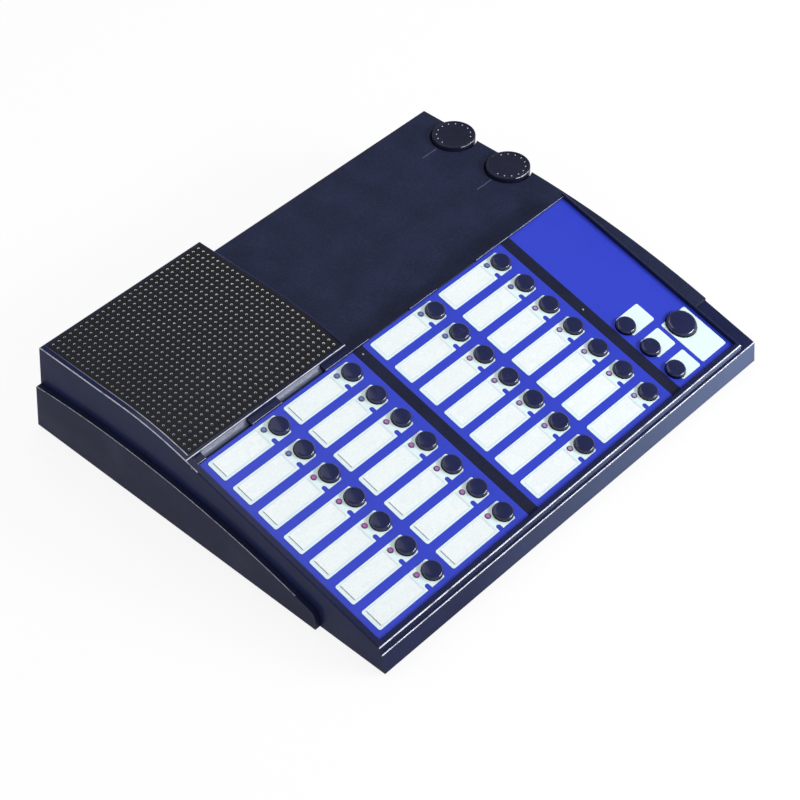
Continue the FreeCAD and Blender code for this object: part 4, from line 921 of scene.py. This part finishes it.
class INTERCOM_OT_rear_socket(bpy.types.Operator):
    """Finish the rear socket and add the two threaded posts beside it"""
    bl_idname = "intercom.rear_socket"
    bl_label = "Rear socket"

    def execute(self, context):
        dress("rear_connector", sheet_steel("socket_steel", linear(175, 177, 178)))
        low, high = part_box("rear_connector")
        height = (low.z + high.z) / 2
        middle = (low.x + high.x) / 2
        wall = REAR_FOOT - (height - 1 * MM) * math.tan(REAR_LEAN)
        start_clean()
        bpy.ops.mesh.primitive_cylinder_add(vertices=6, radius=POST_RADIUS, depth=POST_LENGTH)
        bpy.ops.object.mode_set(mode="EDIT")
        choose("FACE", lambda face: face.normal.z > 0.9)
        bpy.ops.mesh.bevel(offset=0.3 * MM, segments=1, affect="EDGES")
        choose("FACE", lambda face: face.normal.z > 0.9)
        bpy.ops.mesh.inset(thickness=1.0 * MM)
        bpy.ops.mesh.inset(thickness=0.01 * MM, depth=-3.5 * MM)
        bpy.ops.object.mode_set(mode="OBJECT")
        turn = Matrix.Rotation(math.radians(-90), 4, "X")
        copies([Matrix.Translation((middle + side * POST_ASIDE, wall - POST_SINK, height)) @ turn
                for side in (-1, 1)])
        settle("socket_posts", STATIC, sheet_steel("post_steel", linear(185, 180, 165)))
        return {"FINISHED"}


class INTERCOM_OT_inside(bpy.types.Operator):
    """Finish what the case holds"""
    bl_idname = "intercom.inside"
    bl_label = "Inside"

    def execute(self, context):
        steel = sheet_steel("basket_steel", linear(150, 152, 150))
        for node in ("speaker_basket", "potentiometers", "microphone"):
            dress(node, steel)
        ferrite = moulded_plastic("ferrite", linear(58, 58, 60), roughness=0.6, grain=1.2, depth=0.15)
        dress("speaker_magnet", ferrite)
        dress("speaker_cone", pressed_paper("cone_paper", linear(52, 50, 48)))
        board = circuit_board("board_laminate", linear(28, 84, 52))
        dress("main_board", board)
        dress("control_board", board)
        chip = moulded_plastic("chip_epoxy", linear(28, 28, 30), roughness=0.55, grain=0.3, depth=0.04,
                               mottle=0.15, specular=0.3)
        dress("board_parts", chip)
        dress("key_switches", chip)
        dress("ribbon_cable", flat_cable("ribbon_sheath", linear(150, 150, 152)))
        return {"FINISHED"}


class INTERCOM_OT_stage(bpy.types.Operator):
    """Make the floor, the soft lights and the camera"""
    bl_idname = "intercom.stage"
    bl_label = "Stage"

    def execute(self, context):
        scene = context.scene
        scene.view_settings.view_transform = "Standard"
        self.lay_floor()
        scene.world = self.white_room()
        self.hang_lamps()
        turns = [math.radians(angle) for angle in CAMERA_TURNS]
        bpy.ops.object.camera_add(location=CAMERA_PLACE, rotation=turns)
        camera = context.object
        camera.data.lens = CAMERA_LENS
        camera.data.shift_x, camera.data.shift_y = CAMERA_SHIFT
        scene.camera = camera
        return {"FINISHED"}

    def lay_floor(self):
        """A pale floor that takes shadows and looks white."""
        start_clean()
        bpy.ops.mesh.primitive_plane_add(size=8)
        floor = bpy.context.object
        floor.name = "floor"
        paper = Finish("floor_paper", {"Base Color": (0.93, 0.93, 0.93, 1.0), "Roughness": 0.9})
        floor.data.materials.append(paper.material)
        tree = paper.material.node_tree
        white = self.glow(tree, "ShaderNodeEmission", 1.0)
        mixed = self.show(tree, ("Is Camera Ray", "Is Glossy Ray", "Is Transmission Ray"), 0.86,
                          paper.shader, white)
        tree.links.new(mixed.outputs[0], tree.nodes["Material Output"].inputs["Surface"])

    def white_room(self):
        """White all round to the eye, with plain light on the case."""
        world = bpy.data.worlds.new("studio")
        world.use_nodes = True
        tree = world.node_tree
        plain = tree.nodes["Background"]
        plain.inputs["Color"].default_value = (1, 1, 1, 1)
        plain.inputs["Strength"].default_value = 0.56
        walls = self.glow(tree, "ShaderNodeBackground", 1.0)
        self.darken_ceiling(tree, walls)
        white = self.glow(tree, "ShaderNodeBackground", 1.0)
        mirrored = self.show(tree, ("Is Glossy Ray", "Is Transmission Ray"), 1.0, plain, walls)
        seen = self.show(tree, ("Is Camera Ray",), 1.0, mirrored, white)
        tree.links.new(seen.outputs[0], tree.nodes["World Output"].inputs["Surface"])
        return world

    def hang_lamps(self):
        """Soft rectangular lamps that all look at the case."""
        for name, place, width, height, power in LAMPS:
            bpy.ops.object.light_add(type="AREA", location=place)
            lamp = bpy.context.object
            lamp.name = name
            lamp.data.shape = "RECTANGLE"
            lamp.data.size = width
            lamp.data.size_y = height
            lamp.data.energy = power
            toward = LAMP_TARGET - Vector(place)
            lamp.rotation_euler = toward.to_track_quat("-Z", "Y").to_euler()

    def glow(self, tree, kind, strength):
        """A white light of its own."""
        white = tree.nodes.new(kind)
        white.inputs["Color"].default_value = (1, 1, 1, 1)
        white.inputs["Strength"].default_value = strength
        return white

    def darken_ceiling(self, tree, walls):
        """Mirrors see white walls round the table and a dim ceiling above it."""
        place = tree.nodes.new("ShaderNodeTexCoord")
        parts = tree.nodes.new("ShaderNodeSeparateXYZ")
        height = tree.nodes.new("ShaderNodeMapRange")
        for socket, value in (("From Min", 0.05), ("From Max", 0.6), ("To Min", 0.9), ("To Max", 0.1)):
            height.inputs[socket].default_value = value
        tree.links.new(place.outputs["Generated"], parts.inputs[0])
        tree.links.new(parts.outputs["Z"], height.inputs["Value"])
        tree.links.new(height.outputs[0], walls.inputs["Strength"])

    def show(self, tree, rays, share, plain, bright):
        """Let these kinds of rays see a share of the brighter shader."""
        path = tree.nodes.new("ShaderNodeLightPath")
        total = tree.nodes.new("ShaderNodeMath")
        total.operation = "MULTIPLY"
        total.inputs[1].default_value = share
        seen = path.outputs[rays[0]]
        for ray in rays[1:]:
            both = tree.nodes.new("ShaderNodeMath")
            both.operation = "MAXIMUM"
            tree.links.new(seen, both.inputs[0])
            tree.links.new(path.outputs[ray], both.inputs[1])
            seen = both.outputs[0]
        tree.links.new(seen, total.inputs[0])
        mixed = tree.nodes.new("ShaderNodeMixShader")
        tree.links.new(total.outputs[0], mixed.inputs[0])
        tree.links.new(plain.outputs[0], mixed.inputs[1])
        tree.links.new(bright.outputs[0], mixed.inputs[2])
        return mixed


OPERATORS = (INTERCOM_OT_case, INTERCOM_OT_grille, INTERCOM_OT_console, INTERCOM_OT_lamps,
             INTERCOM_OT_keys, INTERCOM_OT_knobs, INTERCOM_OT_frames, INTERCOM_OT_rear_socket,
             INTERCOM_OT_inside, INTERCOM_OT_stage)


class INTERCOM_PT_panel(bpy.types.Panel):
    """Sizes, colours and the pieces in the order in which they are made"""
    bl_idname = "INTERCOM_PT_panel"
    bl_label = "Desk intercom"
    bl_space_type = "VIEW_3D"
    bl_region_type = "UI"
    bl_category = "Intercom"

    def draw(self, context):
        for group in (context.scene.intercom_colours, context.scene.intercom_sizes):
            for name in group.bl_rna.properties.keys():
                if name not in ("name", "rna_type"):
                    self.layout.prop(group, name)
        for operator in OPERATORS:
            self.layout.operator(operator.bl_idname)


CLASSES = (IntercomColours, IntercomSizes) + OPERATORS + (INTERCOM_PT_panel,)


def register():
    for made in CLASSES:
        bpy.utils.register_class(made)
    bpy.types.Scene.intercom_colours = bpy.props.PointerProperty(type=IntercomColours)
    bpy.types.Scene.intercom_sizes = bpy.props.PointerProperty(type=IntercomSizes)


def unregister():
    del bpy.types.Scene.intercom_sizes
    del bpy.types.Scene.intercom_colours
    for made in reversed(CLASSES):
        bpy.utils.unregister_class(made)


def main():
    register()
    for operator in OPERATORS:
        group, name = operator.bl_idname.split(".")
        getattr(getattr(bpy.ops, group), name)()


if __name__ == "__main__":
    main()
